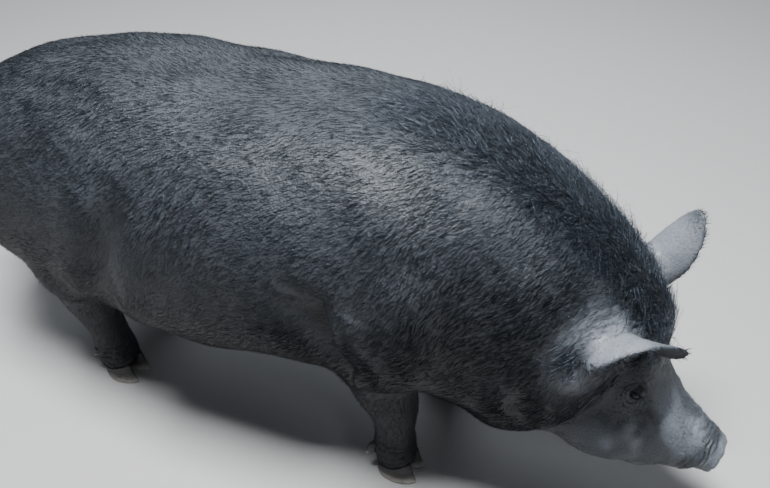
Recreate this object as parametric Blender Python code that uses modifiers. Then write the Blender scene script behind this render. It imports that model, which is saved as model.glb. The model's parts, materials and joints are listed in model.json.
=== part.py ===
"""A fat black pig standing with its head low, at life size, in metres with +Z up.

The pig faces +X and its right side is at -Y. Its flesh is lofted from named cross-sections,
fused and evened out, and then parted by thin cuts into head, neck, trunk and legs. Ears, tail,
snout, eyes and claws are pieces of their own. The origin is under the middle of its box.
"""

import math

import bmesh
import bpy
import numpy as np
from mathutils import Matrix, Vector

# ---------------------------------------------------------------- driving sizes
GAP = 0.0005  # between pieces that touch
CUT = 0.6  # how far a cutting block reaches past the body
VOXEL = 0.007  # of the fused flesh, before it is thinned out
SMOOTHING = 11
FLESH_FACES = 3650
FULLNESS = 0.005  # gives back what the smoothing takes
HEAD_DETAIL, LEG_DETAIL = 0.93, 0.96  # share of the thinning that these take
RING, STEPS = 32, 5

FORE_FOOT_X, FORE_FOOT_Y = 0.230, 0.115
HIND_FOOT_X, HIND_FOOT_Y = -0.315, 0.120

# Cross-sections of the trunk and neck: centre x and z, how far the section leans forward in
# degrees, height above and below the centre, half width, and squareness (2 is an ellipse).
BODY_SECTIONS = {
    "tail_root": (-0.610, 0.430, 0, 0.040, 0.060, 0.040, 2.0),
    "buttocks": (-0.580, 0.405, 0, 0.098, 0.105, 0.110, 2.1),
    "ham": (-0.520, 0.405, 0, 0.138, 0.132, 0.160, 2.2),
    "hip": (-0.420, 0.390, 0, 0.190, 0.175, 0.196, 2.25),
    "loin": (-0.270, 0.385, 0, 0.223, 0.200, 0.222, 2.3),
    "barrel": (-0.090, 0.385, 0, 0.222, 0.210, 0.240, 2.3),
    "girth": (0.080, 0.390, 0, 0.222, 0.190, 0.232, 2.3),
    "shoulder": (0.220, 0.385, 4, 0.225, 0.168, 0.212, 2.25),
    "neck_base": (0.330, 0.355, 16, 0.208, 0.172, 0.188, 2.2),
    "neck": (0.405, 0.315, 30, 0.185, 0.174, 0.170, 2.15),
    "nape": (0.455, 0.275, 38, 0.160, 0.175, 0.155, 2.1),
    "occiput": (0.490, 0.250, 40, 0.110, 0.110, 0.110, 2.0),
}

# The head has its own frame: x runs from between the ears to the snout and z towards the face.
HEAD_AT = (0.500, 0.0, 0.310)
HEAD_PITCH, HEAD_TURN = 40.0, -4.0  # degrees down, and to the pig's left
HEAD_SECTIONS = {
    "occiput": (-0.070, -0.010, 0, 0.085, 0.095, 0.090, 2.0),
    "poll": (-0.015, -0.030, 0, 0.143, 0.110, 0.116, 2.1),
    "forehead": (0.035, -0.036, 0, 0.117, 0.108, 0.109, 2.15),
    "eyes": (0.070, -0.036, 0, 0.079, 0.104, 0.096, 2.2),
    "dish": (0.110, -0.033, 0, 0.056, 0.087, 0.077, 2.2),
    "muzzle": (0.160, -0.030, 0, 0.050, 0.065, 0.056, 2.25),
    "nose": (0.195, -0.020, 0, 0.045, 0.050, 0.044, 2.25),
    "lips": (0.220, -0.011, 0, 0.037, 0.038, 0.037, 2.2),
}

# Flesh that stands out on both sides of the trunk: centre, half sizes, and lean in degrees.
BULGES = {
    "shoulder": ((0.225, 0.158, 0.375), (0.105, 0.062, 0.130), 8),
    "elbow": ((0.188, 0.134, 0.275), (0.058, 0.056, 0.058), 0),
    "ham": ((-0.425, 0.128, 0.380), (0.118, 0.074, 0.125), -14),
    "stifle": ((-0.345, 0.148, 0.275), (0.066, 0.054, 0.072), 0),
    "jowl": ((0.474, 0.070, 0.256), (0.125, 0.062, 0.052), 36),
    "cheek": ((0.530, 0.050, 0.222), (0.105, 0.042, 0.046), 42),
}

# The snout's disc, in the head's frame: middle, how far it tips up, and its half sizes.
DISC_AT, DISC_TIP = (0.228, 0.0, 0.004), 20.0
DISC_WIDTH, DISC_HEIGHT, DISC_DEPTH = 0.034, 0.026, 0.010
DISC_ROUNDING = 0.005

# Ears: how far along, half width round the curve, and how far each side rolls, in degrees.
EAR_LENGTH, EAR_THICKNESS, EAR_RING = 0.150, 0.006, 11
EAR_SECTIONS = {
    "root": (0.00, 0.050, 100),
    "base": (0.30, 0.059, 88),
    "middle": (0.58, 0.053, 72),
    "upper": (0.81, 0.036, 55),
    "top": (0.94, 0.018, 40),
    "tip": (1.00, 0.005, 20),
}
# Where each ear starts, which way it points, which way its back faces, how far it bends
# towards its hollow side and twists on the way to its tip, in degrees, and how tightly it rolls.
EARS = {
    "right": ((0.448, -0.090, 0.384), (0.80, -0.22, 0.50), (-0.50, -0.38, 0.80), 42, -88, 0.85),
    "left": ((0.496, 0.074, 0.361), (0.55, 0.26, 0.79), (-0.60, -0.50, 0.60), 4, 0, 1.15),
}

# Eyes, in the head's frame: middle of the right one, and radius.
EYE_AT, EYE_RADIUS = (0.050, -0.072, 0.033), 0.0120

# Legs, from the shoulder or hip down: height, offset forward and outward of the foot, half
# length and half width.
FORE_LEG = {
    "shoulder": (0.400, -0.030, 0.010, 0.100, 0.060),
    "elbow": (0.290, -0.030, 0.005, 0.078, 0.058),
    "forearm": (0.215, -0.026, 0.002, 0.056, 0.050),
    "knee": (0.145, -0.008, 0.000, 0.036, 0.036),
    "cannon": (0.100, -0.004, 0.000, 0.030, 0.030),
    "fetlock": (0.068, -0.004, 0.000, 0.034, 0.034),
    "pastern": (0.042, 0.000, 0.000, 0.031, 0.032),
    "inside_hoof": (0.006, 0.004, 0.000, 0.032, 0.032),
}
HIND_LEG = {
    "hip": (0.400, -0.070, 0.000, 0.120, 0.070),
    "thigh": (0.310, -0.055, -0.005, 0.106, 0.066),
    "gaskin": (0.235, -0.052, -0.002, 0.080, 0.052),
    "hock": (0.165, -0.034, 0.000, 0.047, 0.038),
    "shank": (0.110, -0.014, 0.000, 0.032, 0.031),
    "fetlock": (0.068, -0.006, 0.000, 0.035, 0.034),
    "pastern": (0.042, -0.001, 0.000, 0.032, 0.032),
    "inside_hoof": (0.006, 0.004, 0.000, 0.033, 0.032),
}

# The claws: the coronet slopes up towards the toe, and the two claws part at the cleft.
GROUND = 0.010  # height of the soles, which the origin is brought down to at the end
CORONET_HEIGHT, CORONET_SLOPE = 0.028, 12.0  # above the soles
CLAW_LENGTH, CLAW_WIDTH, CLAW_FORWARD = 0.068, 0.031, 0.008
CLEFT, CLAW_RING, DEWCLAW_RING = 0.003, 16, 8
CLAW_RINGS = {  # height, forward, share of the sole's length and width
    "sole": (0.000, 0.000, 0.97, 0.94),
    "bearing_edge": (0.004, 0.000, 1.00, 1.00),
    "wall": (0.022, -0.005, 0.93, 1.00),
    "top": (0.048, -0.011, 0.82, 0.98),
}
DEWCLAW_AT, DEWCLAW_RADIUS, DEWCLAW_LENGTH = (-0.030, 0.017, 0.066), 0.0105, 0.032
DEWCLAW_SLANT = 62.0

# The tail hangs behind the rump in one loose bend: its middle line and how thick it is.
TAIL_LINE = [
    (-0.590, 0.000, 0.478),
    (-0.632, 0.000, 0.484),
    (-0.664, 0.008, 0.458),
    (-0.674, 0.020, 0.412),
    (-0.668, 0.030, 0.366),
    (-0.662, 0.024, 0.322),
    (-0.668, 0.006, 0.288),
]
TAIL_RADIUS, TAIL_TIP = 0.015, 0.40  # at the root, and the tip's share of it

# Where the flesh is parted. Each plane is a point and a normal towards the head.
NECK_CUT = ((0.330, 0.0, 0.350), (1.0, 0.0, 0.04))
HEAD_CUT = ((0.468, 0.0, 0.265), (0.78, 0.0, -0.63))
FORE_BLOCK = (0.205, 0.055, 0.300)  # middle in x, nearest y, and top of the leg's block
FORE_BLOCK_LENGTH = 0.225
HIND_BLOCK = (-0.385, 0.055, 0.300)
HIND_BLOCK_LENGTH = 0.300

# ---------------------------------------------------------------- materials
MATERIALS = {  # colour, roughness, metallic
    "hide": ((0.030, 0.032, 0.036, 1.0), 0.55, 0.0),
    "ear_skin": ((0.150, 0.165, 0.185, 1.0), 0.55, 0.0),
    "snout_skin": ((0.140, 0.140, 0.155, 1.0), 0.45, 0.0),
    "horn": ((0.340, 0.300, 0.250, 1.0), 0.50, 0.0),
    "eye": ((0.025, 0.014, 0.008, 1.0), 0.10, 0.0),
}


def material(name):
    """The material of that name, made the first time it is asked for."""
    made = bpy.data.materials.get(name)
    if made is None:
        color, roughness, metallic = MATERIALS[name]
        made = bpy.data.materials.new(name)
        made.use_nodes = True
        made.diffuse_color = color
        shader = made.node_tree.nodes["Principled BSDF"]
        shader.inputs["Base Color"].default_value = color
        shader.inputs["Roughness"].default_value = roughness
        shader.inputs["Metallic"].default_value = metallic
    return made


# ---------------------------------------------------------------- shaping helpers
def through(rows, steps=STEPS):
    """Rows on a smooth curve through the given ones, with steps spans between each two."""
    rows = np.array(list(rows), float)
    padded = np.vstack([2 * rows[0] - rows[1], rows, 2 * rows[-1] - rows[-2]])
    found = []
    for a, b, c, d in zip(padded, padded[1:], padded[2:], padded[3:]):
        for t in np.arange(steps) / steps:
            pull = 2 * a - 5 * b + 4 * c - d + t * (3 * (b - c) + d - a)
            found.append(b + 0.5 * t * (c - a + t * pull))
    return np.array(found + [rows[-1]])


def superellipse(half_width, above, below, squareness, count=RING):
    """A closed outline in (side, up), which may be deeper below than above."""
    turn = 2 * math.pi * np.arange(count) / count
    side, up = np.cos(turn), np.sin(turn)
    power = 2 / squareness
    across = half_width * np.sign(side) * np.abs(side) ** power
    height = np.where(up > 0, above, below) * np.sign(up) * np.abs(up) ** power
    return across, height


def mesh_object(name, points, faces):
    """A new object with a mesh of these faces, all facing out."""
    mesh = bpy.data.meshes.new(name)
    mesh.from_pydata([tuple(p) for p in points], [], faces)
    shell = bmesh.new()
    shell.from_mesh(mesh)
    bmesh.ops.recalc_face_normals(shell, faces=shell.faces)
    shell.to_mesh(mesh)
    shell.free()
    made = bpy.data.objects.new(name, mesh)
    bpy.context.scene.collection.objects.link(made)
    return made


def loft(name, rings):
    """A closed mesh object over a list of rings of equal length, with its ends closed."""
    count = len(rings[0])
    points = [p for ring in rings for p in ring]
    faces = [
        (i * count + k, i * count + (k + 1) % count, (i + 1) * count + (k + 1) % count, (i + 1) * count + k)
        for i in range(len(rings) - 1)
        for k in range(count)
    ]
    faces += [tuple(reversed(range(count))), tuple(range(len(points) - count, len(points)))]
    return mesh_object(name, points, faces)


def section_rings(sections):
    """Rings of a body or head loft from its named cross-sections."""
    rings = []
    for x, z, lean, above, below, half_width, squareness in through(sections.values()):
        across, height = superellipse(half_width, above, below, squareness)
        tilt = math.radians(lean)
        rings.append(np.stack([x + height * math.sin(tilt), across, z + height * math.cos(tilt)], axis=1))
    return rings


def leg_rings(sections, foot_x, foot_y, side):
    """Rings of a leg loft, level all the way down."""
    rings = []
    turn = 2 * math.pi * np.arange(RING) / RING
    for z, forward, outward, half_length, half_width in through(sections.values()):
        x = foot_x + forward + half_length * np.cos(turn)
        y = side * (foot_y + outward) + half_width * np.sin(turn)
        rings.append(np.stack([x, y, np.full(RING, z)], axis=1))
    return rings


def ellipsoid(name, center, radii, lean=0.0, segments=24):
    """A closed egg, leaning forward by some degrees."""
    mesh = bpy.data.meshes.new(name)
    shell = bmesh.new()
    bmesh.ops.create_uvsphere(shell, u_segments=segments, v_segments=segments // 2, radius=1.0)
    shell.to_mesh(mesh)
    shell.free()
    tilt = Matrix.Rotation(math.radians(lean), 4, "Y")
    mesh.transform(Matrix.Translation(center) @ tilt @ Matrix.Diagonal((*radii, 1.0)))
    made = bpy.data.objects.new(name, mesh)
    bpy.context.scene.collection.objects.link(made)
    return made


def block(name, low, high):
    """A closed box between two corners."""
    low, high = Vector(low), Vector(high)
    mesh = bpy.data.meshes.new(name)
    shell = bmesh.new()
    place = Matrix.Translation((low + high) / 2) @ Matrix.Diagonal((*(high - low), 1.0))
    bmesh.ops.create_cube(shell, size=1.0, matrix=place)
    shell.to_mesh(mesh)
    shell.free()
    made = bpy.data.objects.new(name, mesh)
    bpy.context.scene.collection.objects.link(made)
    return made


def frame_matrix(at, along, back):
    """A frame at a point, with its x axis along one direction and its z axis close to another."""
    x = Vector(along).normalized()
    y = Vector(back).cross(x).normalized()
    turn = Matrix((x, y, x.cross(y))).transposed().to_4x4()
    return Matrix.Translation(at) @ turn


def half_space(name, point, normal, offset=0.0):
    """A big block that fills the side of a plane its normal points to, from offset past it."""
    made = block(name, (offset, -CUT, -CUT), (offset + 2 * CUT, CUT, CUT))
    made.data.transform(frame_matrix(point, normal, (0.0, 0.0, 1.0)))
    return made


def head_matrix():
    """Places the head's own frame in the part's."""
    turn = Matrix.Rotation(math.radians(HEAD_TURN), 4, "Z")
    pitch = Matrix.Rotation(math.radians(HEAD_PITCH), 4, "Y")
    return Matrix.Translation(HEAD_AT) @ turn @ pitch


# ---------------------------------------------------------------- combining helpers
def settle(made):
    """Applies an object's modifiers and returns it."""
    graph = bpy.context.evaluated_depsgraph_get()
    graph.update()
    mesh = bpy.data.meshes.new_from_object(made.evaluated_get(graph))
    made.modifiers.clear()
    made.data = mesh
    return made


def gather(name, pieces):
    """One object with all the meshes of the pieces, which are removed."""
    shell = bmesh.new()
    for piece in pieces:
        shell.from_mesh(piece.data)
        bpy.data.objects.remove(piece)
    mesh = bpy.data.meshes.new(name)
    shell.to_mesh(mesh)
    shell.free()
    made = bpy.data.objects.new(name, mesh)
    bpy.context.scene.collection.objects.link(made)
    return made


def copy(made, name):
    """A copy of an object with a mesh of its own."""
    other = bpy.data.objects.new(name, made.data.copy())
    bpy.context.scene.collection.objects.link(other)
    return other


def combine(made, operation, cutters):
    """Cuts or crops an object by others and removes those."""
    for cutter in cutters:
        step = made.modifiers.new(operation.lower(), "BOOLEAN")
        step.operation = operation
        step.solver = "EXACT"
        step.object = cutter
        settle(made)
        bpy.data.objects.remove(cutter)
    return made


def grown(made, name, distance=GAP):
    """A copy that is bigger by a distance all round."""
    other = copy(made, name)
    for vertex in other.data.vertices:
        vertex.co += vertex.normal * distance
    return other


def keep_largest(made):
    """Leaves only the biggest separate body of a mesh."""
    shell = bmesh.new()
    shell.from_mesh(made.data)
    left = set(shell.verts)
    islands = []
    while left:
        queue = [left.pop()]
        island = set(queue)
        while queue:
            near = {e.other_vert(v) for v in (queue.pop(),) for e in v.link_edges} - island
            island |= near
            left -= near
            queue += near
        islands.append(island)
    keep = max(islands, key=len)
    bmesh.ops.delete(shell, geom=[v for v in shell.verts if v not in keep], context="VERTS")
    shell.to_mesh(made.data)
    shell.free()
    return made


# ---------------------------------------------------------------- the pig
def fused_flesh():
    """Trunk, neck, head and legs as one even mesh, finest at the head."""
    body = loft("body", section_rings(BODY_SECTIONS))
    head = loft("head", section_rings(HEAD_SECTIONS))
    head.data.transform(head_matrix())
    pieces = [body, head]
    for side in (-1, 1):
        pieces.append(loft("fore", leg_rings(FORE_LEG, FORE_FOOT_X, FORE_FOOT_Y, side)))
        pieces.append(loft("hind", leg_rings(HIND_LEG, HIND_FOOT_X, HIND_FOOT_Y, side)))
        for name, ((x, y, z), radii, lean) in BULGES.items():
            pieces.append(ellipsoid(name, (x, side * y, z), radii, lean))
    flesh = gather("flesh", pieces)
    fuse = flesh.modifiers.new("fuse", "REMESH")
    fuse.mode = "VOXEL"
    fuse.voxel_size = VOXEL
    smooth = flesh.modifiers.new("smooth", "SMOOTH")
    smooth.factor = 0.5
    smooth.iterations = SMOOTHING
    settle(flesh)
    group = flesh.vertex_groups.new(name="thin_out")
    point, normal = Vector(HEAD_CUT[0]), Vector(HEAD_CUT[1])
    for vertex in flesh.data.vertices:
        at_head = (vertex.co - point).dot(normal) > 0
        at_leg = vertex.co.z < FORE_LEG["forearm"][0]
        weight = HEAD_DETAIL if at_head else LEG_DETAIL if at_leg else 1.0
        group.add([vertex.index], weight, "REPLACE")
    flesh.data.calc_loop_triangles()
    thin = flesh.modifiers.new("thin", "DECIMATE")
    thin.ratio = FLESH_FACES / len(flesh.data.loop_triangles)
    thin.vertex_group = "thin_out"
    settle(flesh)
    full = grown(flesh, "flesh", FULLNESS)
    bpy.data.objects.remove(flesh)
    return full


def leg_block(name, place, length, side, grow=0.0):
    """The block that one leg is cut out with."""
    x, y, top = place
    ys = sorted((side * (y - grow), side * CUT))
    return block(
        name, (x - length / 2 - grow, ys[0], -CUT), (x + length / 2 + grow, ys[1], top + grow)
    )


def coronet(name, foot_x, offset=0.0):
    """A block under a foot's sloping coronet."""
    point = (foot_x, 0.0, GROUND + CORONET_HEIGHT + offset)
    slope = math.radians(CORONET_SLOPE)
    under = block(name, (-0.12, -CUT, -CUT), (0.12, CUT, 0.0))
    under.data.transform(Matrix.Translation(point) @ Matrix.Rotation(-slope, 4, "Y"))
    return under


def claw(name, foot_x, foot_y, side):
    """One of a foot's two main claws, with a flat sole at floor level and a pointed toe."""
    turn = 2 * math.pi * np.arange(CLAW_RING) / CLAW_RING
    middle = foot_y + side * (CLEFT + CLAW_WIDTH) / 2
    rings = []
    for z, forward, long, wide in CLAW_RINGS.values():
        x = np.cos(turn)
        y = np.sin(turn)
        taper = 1 - 0.38 * np.clip(x, 0, 1) ** 2
        inner = np.where(side * y < 0, 0.90, 1.0)
        rings.append(
            np.stack(
                [
                    foot_x + CLAW_FORWARD + forward + long * x * CLAW_LENGTH / 2,
                    middle + wide * y * taper * inner * CLAW_WIDTH / 2,
                    np.full(len(turn), GROUND + z),
                ],
                axis=1,
            )
        )
    made = loft(name, rings)
    above = coronet("above", foot_x, -GAP)
    return combine(made, "INTERSECT", [above])


def dewclaw(name, foot_x, foot_y, side, leg):
    """A small claw behind the fetlock, pointing down and back."""
    turn = 2 * math.pi * np.arange(DEWCLAW_RING) / DEWCLAW_RING
    rings = []
    for t, wide in ((0.0, 0.80), (0.25, 1.00), (0.60, 0.78), (0.88, 0.42), (1.0, 0.16)):
        across = DEWCLAW_RADIUS * wide * np.cos(turn)
        up = DEWCLAW_RADIUS * wide * 0.8 * np.sin(turn)
        rings.append(np.stack([np.full(DEWCLAW_RING, DEWCLAW_LENGTH * t), across, up], axis=1))
    made = loft(name, rings)
    x, y, z = DEWCLAW_AT
    slant = math.radians(DEWCLAW_SLANT)
    along = (-math.cos(slant), 0.16 * side, -math.sin(slant))
    place = frame_matrix((foot_x + x, foot_y + side * y, z + DEWCLAW_LENGTH / 3), along, (-1.0, 0.0, 0.4))
    made.data.transform(place)
    return keep_largest(combine(made, "DIFFERENCE", [grown(leg, "leg_shape")]))


def snout_disc():
    """The flat disc at the end of the snout, with a rounded rim."""
    rings = []
    for depth, inset in (
        (-DISC_DEPTH, DISC_ROUNDING),
        (-DISC_DEPTH / 2, 0.0),
        (DISC_DEPTH / 2, 0.0),
        (DISC_DEPTH * 0.85, DISC_ROUNDING * 0.35),
        (DISC_DEPTH, DISC_ROUNDING),
    ):
        across, height = superellipse(DISC_WIDTH - inset, DISC_HEIGHT - inset, DISC_HEIGHT - inset, 2.2)
        rings.append(np.stack([np.full(RING, depth), across, height], axis=1))
    made = loft("snout", rings)
    tip = Matrix.Rotation(-math.radians(DISC_TIP), 4, "Y")
    made.data.transform(head_matrix() @ Matrix.Translation(DISC_AT) @ tip)
    return made


def ear(name, at, along, back, bend, twist, curl, flesh):
    """A leaf rolled into a half tube, open on its hollow side, and cut to sit on the flesh."""
    rows = []
    for t, half_width, roll in through(EAR_SECTIONS.values(), 2):
        reach = EAR_LENGTH * t
        angle = math.radians(roll) * curl
        radius = half_width / angle
        sag = math.radians(bend) * t * reach / 2
        turned = math.radians(twist) * t
        for a in np.linspace(-angle, angle, EAR_RING):
            y, z = radius * math.sin(a), radius * (math.cos(a) - 1)
            across = y * math.cos(turned) - z * math.sin(turned)
            up = y * math.sin(turned) + z * math.cos(turned)
            rows.append((reach, across, up - sag))
    count = EAR_RING
    faces = [
        (i * count + k, (i + 1) * count + k, (i + 1) * count + k + 1, i * count + k + 1)
        for i in range(len(rows) // count - 1)
        for k in range(count - 1)
    ]
    made = mesh_object(name, rows, faces)
    made.data.transform(frame_matrix(at, along, back))
    shell = made.modifiers.new("thickness", "SOLIDIFY")
    shell.thickness = EAR_THICKNESS
    shell.offset = 0
    settle(made)
    return keep_largest(combine(made, "DIFFERENCE", [grown(flesh, "flesh_shape")]))


def tail(flesh):
    """A tapering tube along the tail's line, cut to sit on the rump."""
    line = bpy.data.curves.new("tail", "CURVE")
    line.dimensions = "3D"
    line.bevel_depth = TAIL_RADIUS
    line.bevel_resolution = 3
    line.use_fill_caps = True
    points = through(TAIL_LINE, 3)
    spline = line.splines.new("POLY")
    spline.points.add(len(points) - 1)
    for k, (point, place) in enumerate(zip(spline.points, points)):
        point.co = (*place, 1.0)
        point.radius = 1 - (1 - TAIL_TIP) * k / (len(points) - 1)
    tube = bpy.data.objects.new("tail_line", line)
    bpy.context.scene.collection.objects.link(tube)
    graph = bpy.context.evaluated_depsgraph_get()
    mesh = bpy.data.meshes.new_from_object(tube.evaluated_get(graph))
    shell = bmesh.new()
    shell.from_mesh(mesh)
    bmesh.ops.remove_doubles(shell, verts=shell.verts, dist=0.00005)
    shell.to_mesh(mesh)
    shell.free()
    bpy.data.objects.remove(tube)
    made = bpy.data.objects.new("tail", mesh)
    bpy.context.scene.collection.objects.link(made)
    return keep_largest(combine(made, "DIFFERENCE", [grown(flesh, "flesh_shape")]))


def build():
    """Makes every piece and returns them with the name of each one's material."""
    flesh = fused_flesh()
    pieces = {}

    for side, place in EARS.items():
        pieces[ear(f"ear_{side}", *place, flesh)] = "ear_skin"
    pieces[tail(flesh)] = "hide"

    x, y, z = EYE_AT
    eyes = {}
    for side, word in ((1, "right"), (-1, "left")):
        center = head_matrix() @ Vector((x, side * y, z))
        eyes[word] = center
        pieces[ellipsoid(f"eye_{word}", center, (EYE_RADIUS,) * 3, segments=16)] = "eye"

    head = copy(flesh, "head")
    sockets = [ellipsoid("socket", c, (EYE_RADIUS + GAP,) * 3, segments=16) for c in eyes.values()]
    disc = snout_disc()
    pieces[disc] = "snout_skin"
    combine(head, "DIFFERENCE", sockets + [grown(disc, "disc_shape")])
    combine(head, "INTERSECT", [half_space("ahead", *HEAD_CUT, GAP / 2)])
    pieces[keep_largest(head)] = "hide"

    neck = copy(flesh, "neck")
    combine(neck, "INTERSECT", [half_space("ahead", *NECK_CUT, GAP / 2)])
    combine(neck, "DIFFERENCE", [half_space("ahead", *HEAD_CUT, -GAP / 2)])
    pieces[keep_largest(neck)] = "hide"

    trunk = copy(flesh, "trunk")
    combine(trunk, "DIFFERENCE", [half_space("ahead", *NECK_CUT, -GAP / 2)])
    for side, word in ((-1, "right"), (1, "left")):
        for end, foot_x, foot_y, place, length in (
            ("fore", FORE_FOOT_X, FORE_FOOT_Y, FORE_BLOCK, FORE_BLOCK_LENGTH),
            ("hind", HIND_FOOT_X, HIND_FOOT_Y, HIND_BLOCK, HIND_BLOCK_LENGTH),
        ):
            leg = copy(flesh, f"{end}_leg_{word}")
            combine(leg, "INTERSECT", [leg_block("block", place, length, side)])
            combine(leg, "DIFFERENCE", [coronet("under", foot_x)])
            pieces[keep_largest(leg)] = "hide"
            combine(trunk, "DIFFERENCE", [leg_block("block", place, length, side, GAP)])
            for hand, which in ((1, "outer"), (-1, "inner")):
                name = f"{end}_{word}_{which}"
                outward = side * hand
                made = claw(f"claw_{name}", foot_x, side * foot_y, outward)
                pieces[made] = "horn"
                pieces[dewclaw(f"dewclaw_{name}", foot_x, side * foot_y, outward, leg)] = "horn"
    pieces[keep_largest(trunk)] = "hide"
    bpy.data.objects.remove(flesh)
    return pieces


def finish(pieces):
    """Puts the origin under the middle of the pig, and dresses and files every piece."""
    corners = np.array([v.co[:] for made in pieces for v in made.data.vertices])
    low, high = corners.min(axis=0), corners.max(axis=0)
    shift = Matrix.Translation((-(low[0] + high[0]) / 2, -(low[1] + high[1]) / 2, -low[2]))
    pig = bpy.data.collections.new("pig")
    bpy.context.scene.collection.children.link(pig)
    for made, look in pieces.items():
        made.vertex_groups.clear()
        made.data.transform(shift)
        made.data.materials.clear()
        made.data.materials.append(material(look))
        made.data.shade_smooth()
        made.data.set_sharp_from_angle(angle=math.radians(50))
        bpy.context.scene.collection.objects.unlink(made)
        pig.objects.link(made)


def main():
    """Clears the scene and builds the pig."""
    for old in list(bpy.data.objects):
        bpy.data.objects.remove(old)
    finish(build())


main()
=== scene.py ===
"""Dresses a fat black pig: one skin over its flesh, a coat of bristles, eyes and claws.

Sizes are in metres. The pig faces +X, its right side is at -Y, and +Z is up. The head's own
frame has x towards the snout, y to the pig's left and z out of the face.
"""

import json
import logging
import math
from collections.abc import Iterable, Sequence
from dataclasses import dataclass, field, replace
from enum import Enum

import bmesh
import bpy
import numpy as np
from mathutils import Matrix, Vector
from mathutils.bvhtree import BVHTree

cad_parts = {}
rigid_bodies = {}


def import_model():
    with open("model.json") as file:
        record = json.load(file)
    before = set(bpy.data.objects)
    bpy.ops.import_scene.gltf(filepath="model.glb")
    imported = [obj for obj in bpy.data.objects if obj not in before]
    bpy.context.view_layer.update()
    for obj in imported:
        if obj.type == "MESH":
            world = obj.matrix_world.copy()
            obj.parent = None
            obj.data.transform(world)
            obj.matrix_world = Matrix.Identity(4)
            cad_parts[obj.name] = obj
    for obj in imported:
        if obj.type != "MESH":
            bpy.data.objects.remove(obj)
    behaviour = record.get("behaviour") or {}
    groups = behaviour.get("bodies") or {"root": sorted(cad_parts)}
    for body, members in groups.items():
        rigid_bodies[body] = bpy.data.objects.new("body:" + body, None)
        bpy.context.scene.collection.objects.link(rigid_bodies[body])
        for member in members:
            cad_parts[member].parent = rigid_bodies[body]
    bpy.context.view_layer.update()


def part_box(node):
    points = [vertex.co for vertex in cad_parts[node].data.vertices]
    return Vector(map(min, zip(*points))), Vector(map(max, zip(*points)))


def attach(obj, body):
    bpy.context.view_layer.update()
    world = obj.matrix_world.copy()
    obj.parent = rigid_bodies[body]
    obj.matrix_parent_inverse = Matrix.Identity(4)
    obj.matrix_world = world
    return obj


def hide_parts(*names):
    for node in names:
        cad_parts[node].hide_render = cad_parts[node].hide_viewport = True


Array = np.ndarray
Color = tuple[float, float, float]
Point = tuple[float, float, float]
Span = tuple[float, float]

LOG = logging.getLogger("pig")
SEED = 7
SAME_SPOT = 0.00002  # corners of a solid this close to each other are one
SMOOTHING = 0.55  # how far a corner goes to the middle of its neighbours in one step
WAVE_COUNT = 9
WAVE_REACH = 3.6  # about how far that many waves add up


class Side(Enum):
    """The pig's two sides, by the sign of y."""

    RIGHT = -1
    LEFT = 1

    @property
    def word(self) -> str:
        """The side's name in the names of nodes."""
        return self.name.lower()


class Pattern(Enum):
    """The wandering patterns, each by its seed; two names may share one."""

    BODY_LUMPS = 3
    FACE_LUMPS = 5
    BROAD_SWIRLS = 11
    FINE_SWIRLS = 12
    CLUMPS = 21
    SNOUT_WANDER = 31
    BLACK_EDGE = 31
    SNOUT_BREAKS = 32
    SNOUT_LUMPS = 33
    DIM_PATCHES = 33
    EAR_WANDER = 41
    EAR_BREAKS = 43
    LEG_WANDER = 45
    HORN_WANDER = 51
    SKIN_CLOUDS = 61
    SMUDGES = 62
    LID_WANDER = 71


# ---------------------------------------------------------------- numbers over many points
def smoothstep(values: Array, low: float, high: float) -> Array:
    """Goes smoothly from 0 at low to 1 at high.

    Args:
        values: Any numbers.
        low: Where the result leaves 0. It may be above high.
        high: Where the result reaches 1.

    Returns:
        A number from 0 to 1 for each value.
    """
    t = np.clip((values - low) / (high - low), 0.0, 1.0)
    return t * t * (3.0 - 2.0 * t)


def hump(values: Array, middle: float, width: float | Array) -> Array:
    """1 at the middle, fading to nearly 0 at twice the width from it."""
    return np.exp(-(((values - middle) / width) ** 2))


def unit(vectors: Array) -> Array:
    """The vectors at length 1."""
    return vectors / np.maximum(np.linalg.norm(vectors, axis=-1, keepdims=True), 1e-9)


def waves(points: Array, length: float, pattern: Pattern) -> Array:
    """Smooth wandering numbers over space, made of a few plane waves.

    Args:
        points: Where to read them.
        length: About how far it is from one crest to the next.
        pattern: Which of them to read.

    Returns:
        Numbers about from -1 to 1.
    """
    draw = np.random.default_rng(pattern.value)
    total = np.zeros(len(points))
    for _ in range(WAVE_COUNT):
        heading = unit(draw.normal(size=3)) * math.tau / (length * draw.uniform(0.6, 1.7))
        total += np.sin(points @ heading + draw.uniform(0.0, math.tau))
    return total / WAVE_REACH


def line_offset(points: Array, line: Sequence[Point]) -> tuple[Array, Array]:
    """Finds the nearest spot to each point on a line of straight spans.

    Args:
        points: Where to start from.
        line: The line's corners.

    Returns:
        The way to each point from that spot, and how far along the line it is, from 0 to 1.
    """
    best = np.full(points.shape, 9.0)
    share = np.zeros(len(points))
    corners = np.array(line, float)
    for number, (start, end) in enumerate(zip(corners, corners[1:])):
        span = end - start
        t = np.clip((points - start) @ span / (span @ span), 0.0, 1.0)
        off = points - start - t[:, None] * span
        nearer = np.linalg.norm(off, axis=1) < np.linalg.norm(best, axis=1)
        best = np.where(nearer[:, None], off, best)
        share = np.where(nearer, (number + t) / (len(line) - 1), share)
    return best, share


def mirrored(line: Sequence[Point]) -> tuple[Point, ...]:
    """The same line on the other side of the pig."""
    return tuple((x, -y, z) for x, y, z in line)


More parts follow.
